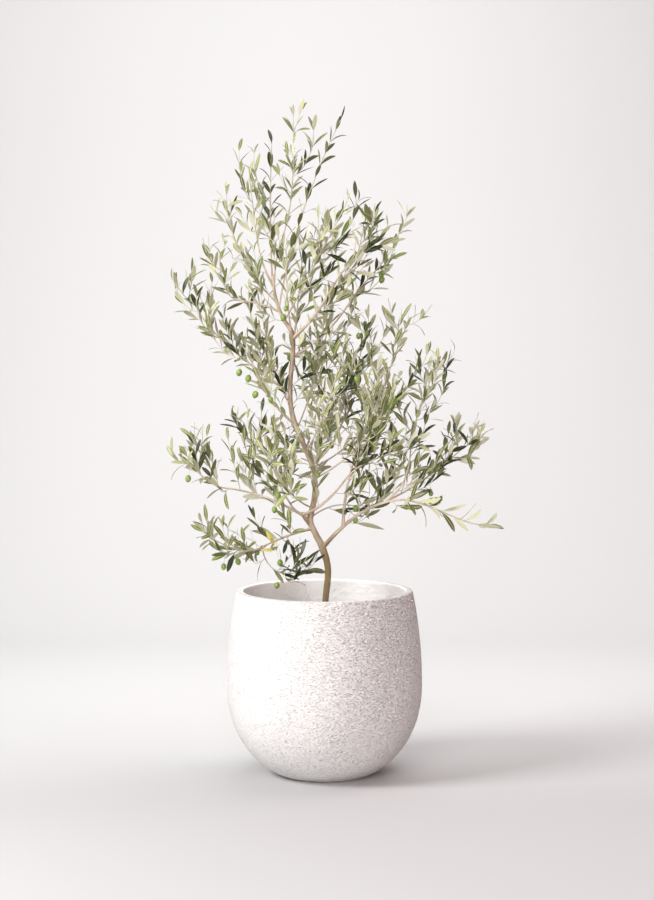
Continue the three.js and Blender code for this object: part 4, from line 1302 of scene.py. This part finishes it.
def leaf_sites(shoot, draw):
    """Where a shoot's leaves stand: crosswise pairs along it, smaller and closer to its line at its tip."""
    bare = shoot.bare * shoot.end
    spacing = fullness(LEAF_SPACINGS, shoot.line(0.5)[2]) * LOOSE_MASSES.get(shoot.mass, 1)
    count = max(2, round(shoot.length * (shoot.end - bare) / spacing) + 1)
    for node in range(count):
        share = mix(bare, shoot.end, node / (count - 1))
        station = min(share, LAST_STATION)
        way = way_of(shoot.line, station)
        tipward = (node / (count - 1)) ** 2
        for half in range(2):
            side = quarter(shoot.turn, node % 2 + 2 * half) + LEAF_SCATTER * (draw() - 0.5)
            out = outward(shoot.line, station, side)
            splay = mix(LEAF_SPLAY, TIP_SPLAY, tipward) + LEAF_SCATTER * (draw() - 0.5) * 2
            along = unit(way * math.cos(splay) + out * math.sin(splay) + UP * LEAF_LIFT)
            face = way * math.sin(splay) - out * math.cos(splay) + UP * LEAF_FACE_UP
            face = face + np.cross(along, face) * LEAF_FACE_SCATTER * (draw() - 0.5) * 2
            size = mix(*LEAF_SIZES, draw()) * mix(1, TIP_LEAF_SIZE, tipward) * LARGE_LEAVES.get(shoot.mass, 1)
            foot = shoot.line(share) + out * float(shoot.radius(share)) * LEAF_FOOT_OUT
            yield foot, along, face, size


leaves = {tint: [] for tint in TINTS}
side_growth = [shoot for shoot in shoots if shoot.parent]
yellow_shoot = min(side_growth, key=lambda shoot: np.linalg.norm(shoot.line(1.0) - YELLOW_SPRAY))
for index, shoot in enumerate(shoots):
    draw = draws[shoot.mass]
    number = mass_numbers[shoot.mass]
    # Dark leaves, partly painted shade, are likelier in the masses listed for them.
    pick = draw() - SHADED_DARK_MASSES.get(shoot.mass, 0)
    tint = "dark"
    for name in ("mature", "pale", "young"):
        pick -= TINTS["dark"][0] if name == "mature" else 0
        if pick > 0:
            tint = name
        pick -= TINTS[name][0]
    tint = "yellow" if shoot is yellow_shoot else MASS_TINTS.get(shoot.mass, tint)
    for foot, along, face, size in leaf_sites(shoot, draw):
        tip = foot + along * LEAF_LENGTH * size
        piece = (mix(foot, tip, LEAF_KEEP_OFF), tip, LEAF_BODY * LEAF_WIDTH * size)
        if depths(tip)[number] < shoot.reach and not taken.touches(piece, LEAF_GAP, shoot=index):
            taken.add([piece], number, index)
            leaves[tint].append((foot, along, face, size, int(draw() * LEAF_SHAPES)))


def plain(colour):
    return lambda graph: {"Base Color": colour}


for tint, (_, *colours) in TINTS.items():
    rows = [np.array(column) for column in zip(*leaves[tint])]
    feet = bpy.data.meshes.new("leaf_feet")
    feet.from_pydata(rows[0] * MM, [], [])
    keep(feet, "along", rows[1], "FLOAT_VECTOR")
    keep(feet, "face", rows[2], "FLOAT_VECTOR")
    keep(feet, "size", rows[3])
    keep(feet, "shape", rows[4], "INT")
    inputs = {"Shapes": leaf_shapes}
    for (label, constants), colour in zip(LEAF_FINISHES.items(), colours):
        inputs[label] = finish(f"leaf_{tint}_{label.lower()}", constants, plain(colour))
    piece = grown("leaves_" + tint, feet, sprays, inputs)
    settle(piece, "foliage", *foliage_nodes)

for shape in list(leaf_shapes.objects):
    bpy.data.objects.remove(shape)


# The olives are still hard and green, oval with a slight point, in a waxy skin. Each hangs from a shoot on
# its own thin stalk: 21 of them where they show in front, and 12 at the back.

OLIVE_LENGTH = 14
OLIVE_WIDTH = 11
OLIVE_POINT = 0.05
OLIVE_POINT_SPAN = 0.4
OLIVE_RINGS = 12
OLIVE_SEGMENTS = 20
OLIVE_HANG = 20
OLIVE_ASIDE = 10
OLIVE_HANG_MOST = 1.3 * OLIVE_HANG
OLIVE_SCATTER = 8
OLIVE_SMALLEST, OLIVE_SIZE_SPREAD = 0.85, 0.25
STALK_RADIUS = 0.45
STALK_BEND, STALK_SAG, STALK_END = 0.3, 2, 0.42
STALK_STEP = 3
OLIVE_SEED = 77
OLIVE_STATIONS = 5
OLIVE_FRONT = 0.25
OLIVE_BACK_FROM = 40
OLIVE_BACK_COUNT = 12
BLOOM_SIZE = 6 * MM
BLOOM_SPAN = (0.35, 0.7)
DOT_SIZE = 1.1 * MM
DOT_SPAN = (0.3, 0.1)
BLOOM_SHARE, DOT_SHARE = 0.6, 0.4
OLIVE_ROUGHNESS, OLIVE_ROUGHNESS_SPREAD = 0.34, 0.2
OLIVE_GREEN = (0.13, 0.2, 0.03, 1)
OLIVE_PALE = (0.26, 0.33, 0.08, 1)

# Where the olives that show in front hang: x and z of each one's middle, in millimetres.
OLIVE_PLACES = [
    (-159, 795), (-138, 757), (-169, 793), (-136, 753), (-106, 761), (-76, 941), (-86, 927),
    (72, 805), (-270, 591), (-100, 539), (-92, 571), (-199, 431), (-171, 441), (-134, 455),
    (-94, 387), (-88, 431), (62, 515), (62, 541), (213, 571), (213, 619), (-13, 611),
]


def olive_green(graph):
    """Waxy green skin with paler dots and a paler sunny bloom."""
    place = graph.object_place()
    bloom = graph.noise(place, BLOOM_SIZE)
    dots = graph.dots(place, DOT_SIZE, DOT_SPAN)
    paler = graph.step(bloom, *BLOOM_SPAN) * BLOOM_SHARE + dots * DOT_SHARE
    return {
        "Base Color": graph.colour_mix(paler, OLIVE_GREEN, OLIVE_PALE),
        "Roughness": OLIVE_ROUGHNESS + bloom * OLIVE_ROUGHNESS_SPREAD,
    }


profile = []
for turn in np.linspace(0, math.pi, OLIVE_RINGS + 1):
    point = 1 + OLIVE_POINT * (turn < OLIVE_POINT_SPAN)
    height = -math.cos(turn) * OLIVE_LENGTH / 2 * MM * point
    profile.append((math.sin(turn) * OLIVE_WIDTH / 2 * MM, height))
profile[0] = (0, profile[0][1])
profile[-1] = (0, profile[-1][1])
olive_shape = bpy.data.objects.new("olive_shape", lathe_mesh("olive_shape", profile, OLIVE_SEGMENTS))
olive_shapes = bpy.data.collections.new("olive_shapes")
olive_shapes.objects.link(olive_shape)

clusters, given = new_tree("clusters", {"Shapes": "Collection", "Finish": "Material"})
graph = clusters
along = graph.read("along", "FLOAT_VECTOR")
turn = graph.node("FunctionNodeAlignRotationToVector", {"axis": "Z"}, {"Vector": along})
shapes = graph.node("GeometryNodeCollectionInfo", None, {"Collection": given["Shapes"]})
sockets = {"Points": given["Geometry"], "Instance": shapes, "Rotation": turn, "Scale": graph.read("size")}
end_tree(graph, graph.node("GeometryNodeInstanceOnPoints", None, sockets), [(given["Finish"], True)])

nodes = []
for shoot in shoots:
    for share in np.linspace(shoot.bare, shoot.end, OLIVE_STATIONS):
        nodes.append(shoot.line(share))
nodes = np.array(nodes)
draw = seeded(OLIVE_SEED)
spots = [(x, z, 1) for x, z in OLIVE_PLACES]
back_nodes = nodes[nodes[:, 1] > OLIVE_BACK_FROM]
for _ in range(OLIVE_BACK_COUNT):
    spot = back_nodes[int(draw() * len(back_nodes))]
    spots.append((spot[0], spot[2] - OLIVE_HANG, -1))
middles, hangs, sizes, stalks = [], [], [], []
for x, z, front in spots:
    cost = np.hypot(nodes[:, 0] - x, nodes[:, 2] - (z + OLIVE_HANG)) + OLIVE_FRONT * nodes[:, 1] * front
    root = nodes[cost.argmin()]
    aside = float(np.clip(x - root[0], -OLIVE_ASIDE, OLIVE_ASIDE))
    below = float(np.clip(root[2] - z, OLIVE_LENGTH, OLIVE_HANG_MOST))
    middle = root + (aside, OLIVE_SCATTER * draw() - OLIVE_SCATTER / 2, -below)
    hang = unit(np.array((-aside / 2, 0, OLIVE_HANG)))
    bend = mix(root, middle, STALK_BEND) - (0, 0, STALK_SAG)
    middles.append(middle)
    hangs.append(hang)
    sizes.append(OLIVE_SMALLEST + OLIVE_SIZE_SPREAD * draw())
    stalks.append(bezier(root, bend, middle + hang * OLIVE_LENGTH * STALK_END))

feet = bpy.data.meshes.new("olive_middles")
feet.from_pydata(np.array(middles) * MM, [], [])
keep(feet, "along", hangs, "FLOAT_VECTOR")
keep(feet, "size", sizes)
skin = finish("olive_skin", {"Specular IOR Level": 0.5}, olive_green)
fruit = grown("olives", feet, clusters, {"Shapes": olive_shapes, "Finish": skin})
settle(fruit, "foliage", *foliage_nodes)
bpy.data.objects.remove(olive_shape)
strands = [strand_of(line, lambda share: STALK_RADIUS + 0 * share, STALK_STEP) for line in stalks]
inputs = {"Sides": TWIG_SIDES, "Crease": 0.0, "Finish": shoot_bark}
stalk_piece = grown("olive_stalks", skeleton("olive_stalks", strands), round_wood, inputs)
settle(stalk_piece, "foliage", *foliage_nodes)


# The studio: a sweep of pale paper that runs from the floor up to a backdrop, and ends in front of the
# planter where the camera no longer sees it. Seven square soft lights hang round it. Most of the light comes
# from the left and from in front, with less from above, from the right and on the backdrop.

SWEEP_WIDTH = 4.4
SWEEP_FRONT = -2.2
SWEEP_BACK = 3.2
SWEEP_HEIGHT = 5.0
SWEEP_ROUND = 1.6
SWEEP_POINTS = 25
SWEEP_COLOUR = (0.465, 0.459, 0.459, 1)
ROOM_GLOW = (1.0, 0.72, 0.68, 1)
ROOM_STRENGTH = 0.13
ROOM_SEEN = (0.86, 0.85, 0.85, 1)

side_view = [(SWEEP_FRONT, 0.0)]
for turn in np.linspace(0, math.pi / 2, SWEEP_POINTS):
    back = SWEEP_BACK - SWEEP_ROUND + SWEEP_ROUND * math.sin(turn)
    side_view.append((back, SWEEP_ROUND * (1 - math.cos(turn))))
side_view.append((SWEEP_BACK, SWEEP_HEIGHT))
corners = [(x, y, z) for y, z in side_view for x in (-SWEEP_WIDTH / 2, SWEEP_WIDTH / 2)]
faces = [(2 * i, 2 * i + 1, 2 * i + 3, 2 * i + 2) for i in range(len(side_view) - 1)]
sweep_mesh = bpy.data.meshes.new("sweep")
sweep_mesh.from_pydata(corners, [], faces)
sweep_mesh.shade_smooth()


def one_way(graph):
    """Paper that shows from its front alone, so that the plant is also seen from behind the backdrop."""
    from_behind = graph.node("ShaderNodeNewGeometry", None, None, "Backfacing")
    return {"Base Color": SWEEP_COLOUR, "Alpha": 1 - from_behind}


paper = finish("sweep_paper", {"Specular IOR Level": 0.1, "Roughness": 0.9}, one_way)
sweep_mesh.materials.append(paper)
sweep = placed("sweep", sweep_mesh)
sweep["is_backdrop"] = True

# Each light: its place, what it is turned to, its width in metres, its power in watts, and its colour.
LIGHTS = {
    "key": ((-2.65, -1.45, 2.35), (0, 0, 0.35), 1.3, 156, (0.965, 0.99, 0.985)),
    "front_fill": ((-0.6, -4.2, 2.0), (0, 0, 0.5), 2.0, 121, (1.0, 0.97, 0.975)),
    "low_front": ((-0.9, -3.2, 0.4), (0, 0, 0.15), 1.2, 36, (1.0, 0.97, 0.975)),
    "overhead": ((0.5, 0.8, 3.2), (0.2, 0.0, 0.2), 2.4, 44, (0.98, 0.99, 1.0)),
    "right_top": ((1.9, 0.5, 2.9), (0.9, 0.0, 0), 1.6, 25, (1.0, 0.86, 0.85)),
    "right_fill": ((2.6, -1.6, 0.5), (0, 0, 0.1), 0.8, 22, (1.0, 0.83, 0.8)),
    "backdrop": ((-0.05, 0.7, 2.2), (-0.05, 3.2, 1.05), 1.8, 65, (0.98, 0.995, 1.0)),
}

for name, (place, target, width, power, colour) in LIGHTS.items():
    lamp = bpy.data.lights.new(name, "AREA")
    lamp.size = width
    lamp.energy = power
    lamp.color = colour
    light = placed(name, lamp)
    light.location = place
    light.visible_camera = False
    light.rotation_euler = (Vector(target) - Vector(place)).to_track_quat("-Z", "Y").to_euler()

# The room glows a weak pink, and past the paper it is seen as pale.
world = bpy.data.worlds.new("studio")
world.use_nodes = True
world.node_tree.nodes.clear()
graph = Graph(world.node_tree)
glow = graph.node("ShaderNodeBackground", None, {"Color": ROOM_GLOW, "Strength": ROOM_STRENGTH})
seen = graph.node("ShaderNodeBackground", None, {"Color": ROOM_SEEN, "Strength": 1.0})
is_seen = graph.node("ShaderNodeLightPath", None, None, "Is Camera Ray")
room = graph.node("ShaderNodeMixShader", None, {"Fac": is_seen, "Shader": glow, "Shader_001": seen})
graph.node("ShaderNodeOutputWorld", None, {"Surface": room})
bpy.context.scene.world = world
bpy.context.scene.view_settings.view_transform = "Standard"

# The camera stands level with the middle of the crown and looks slightly down.
CAMERA_PLACE = (0.005, -4.5, 1.0)
CAMERA_TILT = 4.36
CAMERA_LENS = 90

lens = bpy.data.cameras.new("camera")
lens.lens = CAMERA_LENS
camera = placed("camera", lens)
camera.location = CAMERA_PLACE
camera.rotation_euler = (math.radians(90 - CAMERA_TILT), 0, 0)
bpy.context.scene.camera = camera

scene_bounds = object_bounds()
sizes = {"cad": [list(corner) for corner in cad_bounds], "scene": [list(corner) for corner in scene_bounds]}
